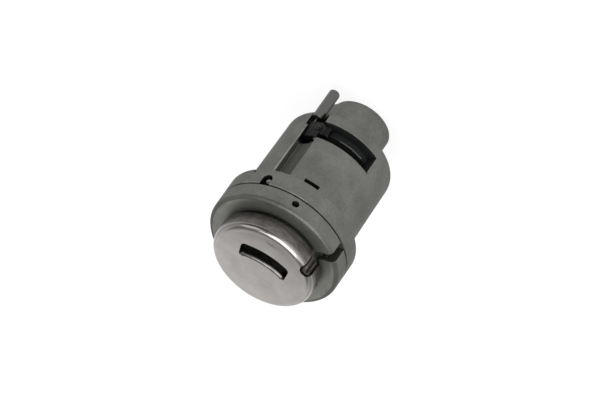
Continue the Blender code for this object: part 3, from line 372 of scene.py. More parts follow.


# %% [markdown]
# ## Zinc die casting
#
# Molten zinc alloy is shot into a steel die, and the castings are tumbled with grit to
# take off the flash. That leaves a satin grey metal with a fine tooth of about half a
# millimetre and faint cloudy patches 5 mm across. Corners are paler, partly tumbling wear
# and partly painted highlight. Sheltered places are darker, painted shade with some grime,
# and the walls inside the openings are painted dark, as shade under black lock grease.
# The catch's lug is burnished brownish.


# %% Zinc
def zinc_die_casting(name, dull, pale, shade_and_grime_share, rubbed="#9c9c96"):
    """Zinc between a dull and a pale shade, with painted shade and some grime in sheltered places.
    """
    finish, tree, shader, place = blank_finish(name)
    clouds = grain(tree, place, 5.0, 3.0)
    tooth = grain(tree, place, 0.45, 5.0, 0.65)
    shade = add(
        tree, "Mix", {"data_type": "RGBA", 6: linear(dull), 7: linear(pale)},
        {0: spread(tree, clouds.outputs["Fac"], 0.0, 1.0)},
    )
    fleck = add(
        tree, "Mix", {"data_type": "RGBA", "blend_type": "OVERLAY", 7: linear("#868682")},
        {0: spread(tree, tooth.outputs["Fac"], 0.0, 0.35), 6: shade.outputs[2]},
    )
    # Corners are painted paler: partly tumbling wear, partly painted highlight.
    worn = add(
        tree, "Mix", {"data_type": "RGBA", 7: linear(rubbed)},
        {0: edge_wear_and_glint_mask(tree, 0.16, 0.35), 6: fleck.outputs[2]},
    )
    # Ambient occlusion darkens sheltered places: painted shade, with some grime.
    shelter = add(tree, "AmbientOcclusion", {"samples": 8, "Distance": 2.4 * MM})
    shade_and_grime = add(
        tree, "Mix", {"data_type": "RGBA", 7: linear("#2c2b29")},
        {0: spread(tree, shelter.outputs["AO"], shade_and_grime_share, 0.0, 0.1, 0.7), 6: worn.outputs[2]},
    )
    tree.links.new(shade_and_grime.outputs[2], shader.inputs["Base Color"])
    shader.inputs["Metallic"].default_value = 0.9
    # The tumbled skin is too coarse to flare up where it is seen edge-on.
    edge_on = 0.58
    shader.inputs["Specular Tint"].default_value = (edge_on, edge_on, edge_on, 1)
    tree.links.new(spread(tree, tooth.outputs["Fac"], 0.42, 0.56), shader.inputs["Roughness"])
    rounding = add(tree, "Bevel", {"samples": 6, "Radius": 0.14 * MM})
    bump = add(
        tree, "Bump", {"Strength": 0.35, "Distance": 0.03 * MM},
        {"Height": tooth.outputs["Fac"], "Normal": rounding.outputs[0]},
    )
    tree.links.new(bump.outputs["Normal"], shader.inputs["Normal"])
    return finish


# The satin, warm grey of the barrel and the collar.
zinc = zinc_die_casting("tumbled zinc die casting", "#6f6f6c", "#80807c", 0.18)
# Painted shade with grease: the near black walls of the port, and the softer dark green-grey of
# the slot and pocket.
shaded_greased_zinc = zinc_die_casting("zinc painted dark as shade under grease", "#292b2a", "#3a3c3b", 0.1)
shaded_filmed_zinc = zinc_die_casting(
    "zinc painted dark grey as shade under a grease film", "#4f5351", "#636765", 0.0, "#6b6f6d"
)
# Painted highlights along the strip's and flange's corners, the collar's crest and the sleeve's
# rim, and the collar's dish painted paler to lift its shade.
highlight_zinc = zinc_die_casting("zinc with a painted highlight at a corner", "#878782", "#adada7", 0.0)
dish_brightened_zinc = zinc_die_casting("zinc painted paler in the collar's dish", "#9c9c96", "#acaca6", 0.0)
# The brownish lug in the cap's notch.
burnished_zinc = zinc_die_casting(
    "zinc burnished by the catch wire", "#403d3a", "#68645f", 0.3, "#746f69"
)
print("zinc nodes:", len(zinc.node_tree.nodes))

# %% [markdown]
# ## Bright stainless pressing
#
# The cap is pressed from cold-rolled stainless sheet. Its face keeps the fine rolling marks
# of the mill, 0.16 mm apart, and picks up scratches from keys. Its skirt is rougher, as the
# press tool drags along it, and painted darker with a mottle, as a painted dark reflection
# and galling. It is the brightest metal here.


# %% Stainless
def stainless_pressing():
    """Bright rolled sheet on the face, rougher below the rolled edge and painted darker there,
    with a painted dark reflection and galling.
    """
    finish, tree, shader, place = blank_finish("cold-rolled stainless pressing")
    drawn = add(tree, "Mapping", {"Scale": (0.08, 1.0, 1.0)}, {"Vector": place})
    rolling = grain(tree, drawn.outputs["Vector"], 0.16, 4.0)
    clouds = grain(tree, place, 3.5, 3.0)
    shade = add(
        tree, "Mix", {"data_type": "RGBA", 6: linear("#b0acaa"), 7: linear("#bcb9b6")},
        {0: spread(tree, clouds.outputs["Fac"], 0.0, 1.0)},
    )
    height = add(tree, "SeparateXYZ", {}, {0: place})
    # Below the rolled edge the colour turns mottled dark: a painted dark reflection, with galling.
    skirt = spread(tree, height.outputs["Z"], 1.0, 0.0, (FACE_Z - 1.3) * MM, (FACE_Z - 0.5) * MM)
    round_about = add(tree, "Mapping", {"Scale": (0.3, 0.3, 1.0)}, {"Vector": place})
    skirt_mottle = grain(tree, round_about.outputs["Vector"], 0.6, 5.0, 0.7)
    skirt_dark_reflection = add(
        tree, "Mix", {"data_type": "RGBA", 6: linear("#454341"), 7: linear("#767270")},
        {0: spread(tree, skirt_mottle.outputs["Fac"], 0.0, 1.0)},
    )
    # A short scratch beside the opening, 3 mm by 0.5 mm, as a missed key leaves it. The
    # coordinates are moved to its middle and stretched, until it is a circle of radius 1.
    scratch_spot, stretch = (0.9 * MM, -8.6 * MM, 0.0), (650, 3600, 0)
    shifted = add(tree, "VectorMath", {"operation": "SUBTRACT", 1: scratch_spot}, {0: place})
    shrunk = add(
        tree, "VectorMath", {"operation": "MULTIPLY", 1: stretch}, {0: shifted.outputs[0]}
    )
    reach = add(tree, "VectorMath", {"operation": "LENGTH"}, {0: shrunk.outputs[0]})
    broken = add(
        tree, "Math", {"operation": "MULTIPLY"},
        {0: spread(tree, reach.outputs["Value"], 1.0, 0.0, 0.2, 1.1),
         1: spread(tree, rolling.outputs["Fac"], 0.2, 1.0, 0.4, 0.6)},
    )
    scratched = add(
        tree, "Mix", {"data_type": "RGBA", 7: linear("#4c494a")},
        {0: broken.outputs[0], 6: shade.outputs[2]},
    )
    whole = add(
        tree, "Mix", {"data_type": "RGBA"},
        {0: skirt, 6: scratched.outputs[2], 7: skirt_dark_reflection.outputs[2]},
    )
    tree.links.new(whole.outputs[2], shader.inputs["Base Color"])
    shader.inputs["Metallic"].default_value = 1.0
    face_gloss = spread(tree, rolling.outputs["Fac"], 0.16, 0.22)
    gloss = add(tree, "Math", {"operation": "MULTIPLY_ADD", 1: 0.14}, {0: skirt, 2: face_gloss})
    tree.links.new(gloss.outputs[0], shader.inputs["Roughness"])
    bump = add(
        tree, "Bump", {"Strength": 0.15, "Distance": 0.006 * MM},
        {"Height": rolling.outputs["Fac"]},
    )
    tree.links.new(bump.outputs["Normal"], shader.inputs["Normal"])
    return finish


stainless = stainless_pressing()

# %% [markdown]
# ## The small metals and the black polymer
#
# The rod, pins and sleeve are ground steel with fine marks along them. The flap behind
# the key opening is blackened, so that the opening looks dark. Springs are drawn wire,
# and the wafers are stamped from brass strip. The slider and cam are moulded from
# glass-filled black nylon, which comes from the mould with a soft shine. Each one's marks
# are 0.2 to 0.5 mm across, and some are stretched along the rod, the lip or the wire.


# %% Steel, black steel, wire, brass and nylon
def plain_metal(name, low, high, rough, size_mm, streak=(1.0, 1.0, 1.0)):
    """A metal whose colour and gloss vary with one pattern of marks."""
    finish, tree, shader, place = blank_finish(name)
    stretched = add(tree, "Mapping", {"Scale": streak}, {"Vector": place})
    marks = grain(tree, stretched.outputs["Vector"], size_mm)
    shade = add(
        tree, "Mix", {"data_type": "RGBA", 6: linear(low), 7: linear(high)},
        {0: spread(tree, marks.outputs["Fac"], 0.0, 1.0)},
    )
    tree.links.new(shade.outputs[2], shader.inputs["Base Color"])
    shader.inputs["Metallic"].default_value = 1.0
    gloss = spread(tree, marks.outputs["Fac"], rough - 0.06, rough + 0.08)
    tree.links.new(gloss, shader.inputs["Roughness"])
    bump = add(
        tree, "Bump", {"Strength": 0.2, "Distance": 0.01 * MM}, {"Height": marks.outputs["Fac"]}
    )
    tree.links.new(bump.outputs["Normal"], shader.inputs["Normal"])
    return finish


ALONG_THE_ROD, ALONG_THE_LIP, ALONG_THE_WIRE = (1.0, 1.0, 0.2), (0.3, 1.0, 1.0), (0.3, 0.3, 1.0)
# A mid grey with faint marks along the rod, the collar's pin and the inner sleeve.
ground_steel = plain_metal(
    "centreless ground steel", "#5b5b5a", "#6b6b68", 0.4, 0.25, ALONG_THE_ROD
)
# The small bright glint in the flange's notch.
dowel_steel = plain_metal("polished dowel steel", "#6a6a68", "#82827f", 0.18, 0.25)
# The guide lip's streaky brown-grey, darker than the bright face round it.
worn_stainless = plain_metal(
    "stainless worn by keys", "#5d5a58", "#97938f", 0.26, 0.5, ALONG_THE_LIP
)
# A mottled brownish spot on the black slider.
hammered_steel = plain_metal("hammered brownish steel", "#262422", "#55514c", 0.5, 0.45)
# The dark of the key opening.
black_steel = plain_metal("blackened spring steel", "#1b1b1b", "#2a2a2a", 0.42, 0.5)
# Thin bluish grey coils, and the yellow of brass deep in the key's way.
spring_wire = plain_metal("drawn spring wire", "#74747a", "#8c8c90", 0.3, 0.2, ALONG_THE_WIRE)
wafer_brass = plain_metal("stamped brass strip", "#b08d4c", "#c7a45f", 0.34, 0.4)


def black_nylon(name, dull, pale):
    """Moulded nylon with a fine skin, and painted pale glints on corners in places."""
    finish, tree, shader, place = blank_finish(name)
    skin = grain(tree, place, 0.35, 4.0)
    shade = add(
        tree, "Mix", {"data_type": "RGBA", 6: linear(dull), 7: linear(pale)},
        {0: spread(tree, skin.outputs["Fac"], 0.0, 1.0)},
    )
    # Pale patches on corners are painted glints.
    glint_patches = grain(tree, place, 1.1, 3.0)
    rubbed = add(
        tree, "Math", {"operation": "MULTIPLY"},
        {0: edge_wear_and_glint_mask(tree, 0.12, 0.25),
         1: spread(tree, glint_patches.outputs["Fac"], 0.0, 0.8, 0.52, 0.6)},
    )
    whole = add(
        tree, "Mix", {"data_type": "RGBA", 7: linear("#b4b4b0")},
        {0: rubbed.outputs[0], 6: shade.outputs[2]},
    )
    tree.links.new(whole.outputs[2], shader.inputs["Base Color"])
    tree.links.new(spread(tree, skin.outputs["Fac"], 0.26, 0.38), shader.inputs["Roughness"])
    shader.inputs["Specular IOR Level"].default_value = 0.12
    rounding = add(tree, "Bevel", {"samples": 6, "Radius": 0.12 * MM})
    bump = add(
        tree, "Bump", {"Strength": 0.25, "Distance": 0.012 * MM},
        {"Height": skin.outputs["Fac"], "Normal": rounding.outputs[0]},
    )
    tree.links.new(bump.outputs["Normal"], shader.inputs["Normal"])
    return finish


# The blackest thing on the part is the slider. The sleeve's paler greenish grey is a painted sheen
# of grease.
nylon = black_nylon("glass-filled black nylon", "#0d0e0e", "#171818")
sheen_painted_nylon = black_nylon("black nylon with a painted grease sheen", "#2c2f2e", "#383c3a")

# %% [markdown]
# Every CAD node takes the finish of its slot in the record, so that the pieces inside,
# which show when the key turns or when the lock is cut open, are finished as well.

# %% Finishes on the CAD nodes
FINISH_OF_SLOT = {
    "zinc_casting": zinc,
    "stainless_pressing": stainless,
    "steel_pin": ground_steel,
    "blackened_steel": black_steel,
    "spring_wire": spring_wire,
    "wafer_brass": wafer_brass,
    "black_polymer": nylon,
}
for entry in frame["record"]["subparts"]:
    node = frame["nodes"][entry["node"]]
    node.data.materials.clear()
    node.data.materials.append(FINISH_OF_SLOT[entry["material_slot"]])


def dress(piece, finish, body, slot_name, *nodes):
    """Gives a finished piece its metal, its body and the nodes that it stands for."""
    piece.data.materials.clear()
    piece.data.materials.append(finish)
    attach(piece, body)
    if nodes:
        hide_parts(*nodes)


# %% [markdown]
# The small pieces that show through openings keep their CAD shape. A copy of each is
# joined up into one skin and shaded smooth, so that its facets don't show.


# %% Smooth copies
def smooth_copy(node_name, finish, body, slot_name):
    """A copy of a CAD node with its doubled corners merged and its round faces smooth."""
    take_up(frame["nodes"][node_name])
    bpy.ops.object.duplicate()
    piece = settle(bpy.context.object, node_name + "_skin")
    smooth(piece, 32)
    dress(piece, finish, body, slot_name, node_name)
    return piece


smooth_copy("shutter_carrier", burnished_zinc, "rotor", "zinc_casting")
smooth_copy("stator_pin", dowel_steel, "housing", "steel_pin")
smooth_copy("collar_pin", ground_steel, "housing", "steel_pin")

# %% [markdown]
# ## The barrel
#
# The barrel is one casting: nose, domed shoulder, body with a slight draft, flange and
# spigot. It is turned first, in the order in which a lathe would follow the outline, and
# the openings are cut afterwards, as the die's side cores would form them.

# %% Turn the barrel
barrel_profile = [(TAIL_HOLE_R + 0.2, 0.0)]
barrel_profile += rounded(NOSE_R - 0.7, 0.7, 0.7, -90, 0)
barrel_profile += rounded(NOSE_R + 1.0, SHOULDER_Z - 1.0, 1.0, 180, 90)
barrel_profile += rounded(BODY_REAR_R - 2.2, SHOULDER_Z + 2.2, 2.2, -90, 0, 9)
barrel_profile += [(12.3, 18.0), (12.4, 24.0)]  # the draft that lets the body leave its die
barrel_profile += rounded(BODY_FRONT_R + 0.4, FLANGE_REAR_Z - 0.4, 0.4, 180, 90, 4)
barrel_profile += rounded(FLANGE_R - 0.3, FLANGE_REAR_Z + 0.3, 0.3, -90, 0, 4)
barrel_profile += rounded(FLANGE_R - 0.22, JOINT_Z - 0.22, 0.22, 0, 90, 3)
barrel_profile += [
    (SPIGOT_R, JOINT_Z),
    (SPIGOT_R, SPIGOT_TOP_Z),
    (COUNTERBORE_R, SPIGOT_TOP_Z),
    (COUNTERBORE_R, COUNTERBORE_Z),
    (BORE_R, COUNTERBORE_Z),
    (BORE_R, BORE_FLOOR_Z),
    (TAIL_HOLE_R, BORE_FLOOR_Z),
    (TAIL_HOLE_R, 0.2),
]
barrel = turn("barrel", barrel_profile, 180)

# %% [markdown]
# A raised pad runs over the front of the body, between the rod's channel and a step
# whose thin line shows on the right of the photograph. In the mouth of the barrel a small
# block stops the rotor, and a rounded rib runs up the nose beside the rod.

# %% Pad, stop and rib
PAD_BEARINGS, PAD_RISE = (-33.0, 28.6), 0.18
RIB_SPOT, RIB_R = at(76.0, 4.75), 2.6
pad = bent_block(
    PAD_BEARINGS,
    (BODY_REAR_R - 0.5, BODY_FRONT_R + PAD_RISE),
    (WINDOW_Z[1] - 0.5, FLANGE_REAR_Z + 0.5),
)
stop = bent_block((175.0, 185.0), (10.4, COUNTERBORE_R + 0.4), (JOINT_Z, COUNTERBORE_Z + 1.1))
rib = upright_drill(RIB_SPOT, RIB_R, (1.6, SHOULDER_Z + 1.0), 96)
carve(barrel, pad, stop, rib, how="UNION")

# %% [markdown]
# The wall slot is wide and low, and opens on the left into a taller port for the black
# slider, which reaches on under the wall in a recess. Behind the port lies the bore that
# the steel rod slides in, with its front side milled open so that the rod can be seen. A
# round hollow beside the rod's end shows as a dark gap, and its walls get painted shade.

# %% Slot, port and rod groove
ROD_R = 1.2
ROD_SPOT = at(47.0, BORE_R + ROD_R)
GROOVE_R = ROD_R + 0.15
GROOVE_END_Z = 13.9
GAP_SPOT, GAP_R, GAP_Z = at(40.5, BORE_R + ROD_R + 0.2), 1.35, 10.4
carve(
    barrel,
    bent_block((-32.6, 32.5), (BORE_R - 0.6, OUTSIDE_R), WINDOW_Z),
    bent_block((31.5, STRIP_BEARING), (BORE_R - 0.6, OUTSIDE_R), PORT_Z),
    bent_block((STRIP_BEARING - 1.3, 53.0), (BORE_R - 0.6, 11.9), PORT_Z),
    upright_drill(ROD_SPOT, GROOVE_R, (SHOULDER_Z - 0.5, GROOVE_END_Z), 48),
    upright_drill(GAP_SPOT, GAP_R, (GAP_Z, GROOVE_END_Z), 48),
    box(
        (ROD_SPOT[0] - GROOVE_R, ROD_SPOT[0] + GROOVE_R),
        (-OUTSIDE_R, ROD_SPOT[1]),
        (SHOULDER_Z - 0.5, PORT_Z[0] + 0.5),
    ),
)

# %% [markdown]
# In front of the port a hollow runs along the body. Its floor is a wide, shallow round
# that starts softly at the pad, gets deeper towards the left, and ends there at a steep
# wall with a crisp edge. The cutter is a thick round bar. Its front end is drawn outwards,
# so that the hollow runs out before the flange, and a block takes off its left side.

# %% The channel
CHANNEL_R = 6.1
CHANNEL_CENTRE_R = 16.9
CHANNEL_BEARING = 45.5
CHANNEL_LENGTH, CHANNEL_MIDDLE_Z = 11.2, 23.5
RUN_OUT = ((0.25, 0.1), (0.2, 0.25), (0.15, 0.45), (0.1, 0.9))


def channel_cutter():
    """A thick bar in front of the body, whose upper end runs out away from the axis."""
    put_down_everything()
    bpy.ops.mesh.primitive_cylinder_add(
        vertices=160, radius=CHANNEL_R * MM, depth=CHANNEL_LENGTH * MM,
        location=(0, -CHANNEL_CENTRE_R * MM, CHANNEL_MIDDLE_Z * MM),
    )
    bar = settle(bpy.context.object, "cutter")
    select_faces(bar, lambda face: face.normal.z > 0.9)
    for rise, out in RUN_OUT:
        step = {"value": (0, -out * MM, rise * MM)}
        bpy.ops.mesh.extrude_region_move(TRANSFORM_OT_translate=step)
    bpy.ops.object.mode_set(mode="OBJECT")
    return swing_to(bar, CHANNEL_BEARING)


def strip_chamfer():
    """A square bar set on its edge, which takes the sharp corner off the strip."""
    side = (-0.15, 0.15)
    bar = box(side, side, (SHOULDER_Z, 29.0))
    bar.rotation_euler = (0, 0, math.radians(45))
    settle(bar)
    bar.location = (0, -(BODY_FRONT_R - 0.1) * MM, 0)
    return settle(bar)


channel = channel_cutter()
beyond_strip = swing_to(box((0.0, 12.0), (-26.0, 0.0), (17.0, 30.5)), STRIP_BEARING)
carve(channel, beyond_strip)
carve(barrel, channel, swing_to(strip_chamfer(), STRIP_BEARING))

# %% [markdown]
# Small things are cut last: the pocket in the pad, the notch in the flange with its round
# end, a small relief at the flange's rear corner, the holes for the two pins, and the gap
# in the spigot under the collar's split.

# %% Pocket, notches, holes and split
notch_radii = (BODY_FRONT_R - 1.3, FLANGE_R + 0.5)
carve(
    barrel,
    straight_block(POCKET_BEARING, POCKET_WIDTH, (BODY_FRONT_R - 1.4, OUTSIDE_R), POCKET_Z),
    straight_block(NOTCH_BEARING, NOTCH_WIDTH, notch_radii, (NOTCH_Z, JOINT_Z + 0.2)),
    drill(NOTCH_BEARING, NOTCH_WIDTH / 2, notch_radii, NOTCH_Z),
    straight_block(55.0, 1.0, (FLANGE_R - 1.4, FLANGE_R + 0.5), (30.3, 31.9)),
    drill(NOTCH_BEARING, STATOR_PIN_HOLE_R, (BORE_R - 0.5, FLANGE_R), STATOR_PIN_Z),
    drill(COLLAR_PIN_BEARING, COLLAR_PIN_HOLE_R, (CAP_R - 0.5, FLANGE_R), COLLAR_PIN_Z),
    straight_block(
        SPLIT_BEARING, SPLIT_WIDTH,
        (COUNTERBORE_R - 0.4, SPIGOT_R + 0.4), (JOINT_Z, SPIGOT_TOP_Z + 1.0),
    ),
)
smooth(settle(barrel))
dress(barrel, zinc, "housing", "zinc_casting", "housing")

# %% [markdown]
# The walls inside the openings are painted dark, as painted shade with grease, and two
# corners get a painted highlight. Each of these faces is picked by where its middle lies, and gets
# a finish of its own.


# %% Finishes of single faces
def spot(face):
    """The radius, bearing and height of a face's middle."""
    middle = face.center / MM
    bearing = math.degrees(math.atan2(middle.x, -middle.y))
    return math.hypot(middle.x, middle.y), bearing, middle.z


def within(value, span):
    """True for a value inside a span or on one of its ends."""
    return span[0] - 0.05 < value < span[1] + 0.05


def shaded_and_greased_wall(face):
    """True for the walls of the slot, port, pocket and notch, and beside the rod, which get
    painted shade.
    """
    radius, bearing, height = spot(face)
    in_port = within(height, PORT_Z) and 31.0 < bearing < 53.5
    in_window = within(height, WINDOW_Z) and abs(bearing) < 33.0
    in_pocket = within(height, POCKET_Z) and -1.0 < bearing < 13.5 and radius < BODY_FRONT_R
    outward = abs(face.normal.z) < 0.5 and radius > 12.0
    beside_rod = GAP_Z - 0.1 < height < PORT_Z[0] and 33.0 < bearing < 48.0 and radius < 12.2
    in_notch = within(height, (NOTCH_Z - NOTCH_WIDTH / 2, JOINT_Z))
    in_notch = in_notch and 32.0 < bearing < 45.0 and radius < FLANGE_R - 0.3
    return in_notch or beside_rod or (in_port or in_window or in_pocket) and not outward


def along_window(face):
    """True for the walls of the slot beyond the port, and for the pocket's, which get a paler
    painted shade.
    """
    _, bearing, height = spot(face)
    in_window = within(height, WINDOW_Z) and bearing < 30.0
    in_pocket = within(height, POCKET_Z) and bearing < 13.5
    return shaded_and_greased_wall(face) and (in_window or in_pocket)


def painted_highlight_corners(face):
    """True for the strip's corner along the channel and for the flange's front corner, which get a
    painted highlight.
    """
    radius, bearing, height = spot(face)
    strip = abs(bearing - STRIP_BEARING) < 1.4 and 12.0 < radius < 12.7 and 11.0 < height < 29.5
    strip = strip and abs(face.normal.x) < 0.3 and abs(face.normal.z) < 0.2
    flange = JOINT_Z - 0.2 < height < JOINT_Z - 0.01 and radius > FLANGE_R - 0.3
    return strip or (flange and 0 < bearing < 60)


def finish_faces(piece, finish, test):
    """Gives the faces that pass a test a finish of their own."""
    piece.data.materials.append(finish)
    index = len(piece.data.materials) - 1
    chosen = [face for face in piece.data.polygons if test(face)]
    for face in chosen:
        face.material_index = index
    print(f"{piece.name}: {len(chosen)} faces in {finish.name}")


# The walls in the openings get painted shade with grease, the slot's and pocket's a paler painted
# shade, and two corners a painted highlight.
finish_faces(barrel, shaded_greased_zinc, shaded_and_greased_wall)
finish_faces(barrel, shaded_filmed_zinc, along_window)
finish_faces(barrel, highlight_zinc, painted_highlight_corners)

# %% [markdown]
# ## The cam sleeve
#
# The black sleeve behind the wall slot is keyed to the tail of the rotor. It is turned with a
# hub, two flats close its bore, and a ramp on its rim lifts the slider as the key turns.
# The ramp is a bent block whose upper corners are raised by their share of the turn.

# %% The cam sleeve
CAM_Z = (10.6, 13.9)
CAM_R = 9.7
HUB = (5.3, 6.5)
HUB_TOP_Z = 17.5
RAMP_START = 50.9
RAMP_TURN = 100.0
CAM_LIFT = 1.5
cam_profile = [(HUB[0], CAM_Z[0]), (CAM_R - 0.1, CAM_Z[0]), (CAM_R, CAM_Z[0] + 0.1)]
cam_profile += rounded(CAM_R - 0.12, CAM_Z[1] - 0.12, 0.12, 0, 90, 3)
cam_profile += [(HUB[1], CAM_Z[1]), (HUB[1], HUB_TOP_Z), (HUB[0], HUB_TOP_Z)]
cam = turn("cam", cam_profile, 120)
ramp = bent_block(
    (RAMP_START, RAMP_START + RAMP_TURN + 10),
    (HUB[1] - 0.2, CAM_R - 0.02),
    (12.5, CAM_Z[1]),
)
for vertex in ramp.data.vertices:
    if vertex.co.z > (CAM_Z[1] - 0.1) * MM:
        bearing = math.degrees(math.atan2(vertex.co.x, -vertex.co.y))
        share = min(1.0, (bearing - RAMP_START) / RAMP_TURN)
        vertex.co.z += (CAM_LIFT * share - 0.04 * (1 - share)) * MM
flat_heights = (CAM_Z[0] + 0.1, HUB_TOP_Z - 0.1)
flats = [box((-2.8, 2.8), span, flat_heights) for span in ((-5.6, -4.6), (4.6, 5.6))]
carve(cam, ramp, *flats, how="UNION")
smooth(settle(cam))
dress(cam, sheen_painted_nylon, "rotor", "black_polymer", "cam_sleeve")


def on_rim(face):
    """True for the rounded corner of the sleeve's rim, which gets a painted highlight."""
    radius, bearing, height = spot(face)
    return radius > CAM_R - 0.12 and CAM_Z[1] - 0.12 < height < CAM_Z[1] and -24 < bearing < 9


# The rim's rounded corner gets a painted highlight.
finish_faces(cam, highlight_zinc, on_rim)

# %% [markdown]
# ## The collar
#
# A separate cast ring is pushed over the spigot, and a thin dark joint shows all round
# between it and the flange. Its crest is rounded, its face is dished towards the cap, and
# it is split so that it can spring.

# %% Turn and split the collar
INSIDE_R = SPIGOT_R + 0.3
DISH_Z = COLLAR_FRONT_Z - 0.3
CREST_EDGE = (13.45, 13.95)
collar_profile = [(INSIDE_R, JOINT_Z + 0.3)]
collar_profile += rounded(FLANGE_R - 0.2, JOINT_Z + 0.5, 0.2, -90, 0, 3)
collar_profile += rounded(FLANGE_R - 0.9, COLLAR_FRONT_Z - 0.9, 0.9, 0, 90, 8)
collar_profile += [(13.6, COLLAR_FRONT_Z), (13.2, COLLAR_FRONT_Z - 0.06), (12.2, DISH_Z)]
collar_profile += rounded(10.75, DISH_Z - 0.15, 0.15, 90, 180, 3)
collar_profile += [(10.6, DISH_Z - 0.7), (INSIDE_R, DISH_Z - 0.7)]
collar = turn("collar", collar_profile, 180)
carve(
    collar,
    straight_block(SPLIT_BEARING, SPLIT_WIDTH, (9.5, FLANGE_R + 0.5), (JOINT_Z, FACE_Z)),
    drill(COLLAR_PIN_BEARING, COLLAR_PIN_HOLE_R, (SPIGOT_R - 0.5, FLANGE_R + 0.5), COLLAR_PIN_Z),
)
smooth(settle(collar))
dress(collar, zinc, "housing", "zinc_casting", "collar_ring")


def on_crest(face):
    """True for the inner edge of the collar's crest, which gets a painted highlight."""
    radius, _, height = spot(face)
    return CREST_EDGE[0] < radius < CREST_EDGE[1] and height > COLLAR_FRONT_Z - 0.15


def on_dish(face):
    """True for the collar's sunk front face, which is painted paler to lift its shade."""
    radius, _, height = spot(face)
    return radius < CREST_EDGE[0] and height > DISH_Z - 0.1


# The crest's inner edge gets a painted highlight, and the dish is painted paler to lift its shade.
finish_faces(collar, highlight_zinc, on_crest)
finish_faces(collar, dish_brightened_zinc, on_dish)

# %% [markdown]
# ## The cap
#
# The cap is drawn from thin sheet over a former: a flat face, a rolled edge, and a short
# skirt whose rim is crimped in behind the rotor's head. Drawing leaves the face slightly
# higher in the middle and falling off towards its border, which shades its far side.

# %% Turn the cap
NECK_HOLE_R = 10.5
CROWN = 0.14
CAP_ROLL = 1.25
SHEET = 0.6
CROWN_STATIONS = (9.9, 9.5, 9.0, 8.4, 7.7, 7.0, 6.0, 5.0, 4.0, 2.5, 0.3)
roll_centre = (CAP_R - CAP_ROLL, FACE_Z - CROWN - CAP_ROLL)
cap_profile = [(NECK_HOLE_R, CAP_SKIRT_Z + SHEET), (NECK_HOLE_R, CAP_SKIRT_Z)]
cap_profile += rounded(CAP_R - 0.3, CAP_SKIRT_Z + 0.3, 0.3, -90, 0, 4)
cap_profile += rounded(*roll_centre, CAP_ROLL, 0, 88, 16)
cap_profile += [(r, FACE_Z - CROWN * (r / 10.0) ** 4) for r in CROWN_STATIONS]
cap_profile += [(0.3, FACE_Z - SHEET)]
cap_profile += rounded(*roll_centre, CAP_ROLL - SHEET, 90, 0, 5)
cap_profile += [(CAP_R - SHEET, CAP_SKIRT_Z + SHEET)]
cap = turn("cap", cap_profile, 180)
plug = upright_drill((0, 0), 0.35, (FACE_Z - SHEET, FACE_Z), 24)
carve(cap, plug, how="UNION")

# %% [markdown]
# The key opening is an arch with rounded ends, and the sheet is turned in round it to a
# lip. A bar is cut into columns along its length and each column is pushed down by its own
# share of the arch; the lip is the same bar made larger. The rolled guide on the opening's
# near side is a bar of its own, whose ends and upper edges are rounded over.

# %% The arched bar
ARCH_DROP = 1.2
ARCH_FAN = 0.0125
TINY = 1e-6


def arched_bar(grow, heights, corner):
    """A bar with the opening's arched outline, grown by a wall, between two heights."""
    put_down_everything()
    length = OPENING_LENGTH + 2 * grow
    width = OPENING_WIDTH + 2 * grow
    thickness = heights[1] - heights[0]
    bpy.ops.mesh.primitive_cube_add(size=1)
    bar = bpy.context.object
    bar.scale = (length * MM, width * MM, thickness * MM)
    bar.location = (0, 0, sum(heights) / 2 * MM)
    settle(bar, "cutter")
    select_edges(bar, lambda a, b: abs(a.z - b.z) > 0.5 * thickness * MM)
    bpy.ops.mesh.bevel(offset=corner * MM, segments=8, affect="EDGES")
    bpy.ops.object.mode_set(mode="OBJECT")
    cut_into_columns(bar, length / 2)
    arch(bar)
    bar.rotation_euler = (0, 0, KEY_TILT)
    return settle(bar)


def guide_lip(roll):
    """A bar along the opening's near side, rounded over like the sheet that is rolled in."""
    put_down_everything()
    edge = -OPENING_WIDTH / 2
    half_length = 5.5
    heights = (FACE_Z - 1.5, FACE_Z - 0.005)
    bar = box((-half_length, half_length), (edge - 0.2, edge + roll), heights)
    top, back, side = heights[1] * MM, (edge - 0.2) * MM, (edge + roll) * MM
    select_edges(bar, lambda a, b: abs(a.z - b.z) > 0.5 * MM and min(a.y, b.y) > side - TINY)
    bpy.ops.mesh.bevel(offset=0.8 * MM, segments=6, affect="EDGES")
    bpy.ops.object.mode_set(mode="OBJECT")
    select_edges(bar, lambda a, b: min(a.z, b.z) > top - TINY and max(a.y, b.y) > back + TINY)
    bpy.ops.mesh.bevel(offset=(roll - 0.05) * MM, segments=8, affect="EDGES")
    bpy.ops.object.mode_set(mode="OBJECT")
    cut_into_columns(bar, half_length)
    arch(bar)
    bar.rotation_euler = (0, 0, KEY_TILT)
    return settle(bar)


def cut_into_columns(bar, half_length, columns=24):
    """Slices the bar across its length, so that it can follow the arch."""
    take_up(bar)
    bpy.ops.object.mode_set(mode="EDIT")
    for i in range(1, columns):
        cut_x = (-half_length + 2 * half_length * i / columns) * MM
        bpy.ops.mesh.select_all(action="SELECT")
        bpy.ops.mesh.bisect(plane_co=(cut_x, 0, 0), plane_no=(1, 0, 0))
    bpy.ops.object.mode_set(mode="OBJECT")


def arch(bar):
    """Moves the bar to the opening's place and bends it down at both ends."""
    take_up(bar)
    for vertex in bar.data.vertices:
        along, across = vertex.co.x / MM, vertex.co.y / MM
        rise = OPENING_MIDDLE + across - ARCH_DROP * (along / (OPENING_LENGTH / 2)) ** 2
        vertex.co.x = along * (1 + ARCH_FAN * across) * MM
        vertex.co.y = -rise * MM


# %% [markdown]
# The lip is joined to the cap first, and then the opening goes through both. On the side
# that the key slides down, the sheet is rolled in further, to a round guide. The notch at
# the cap's edge lets a wire reach the catch behind it.

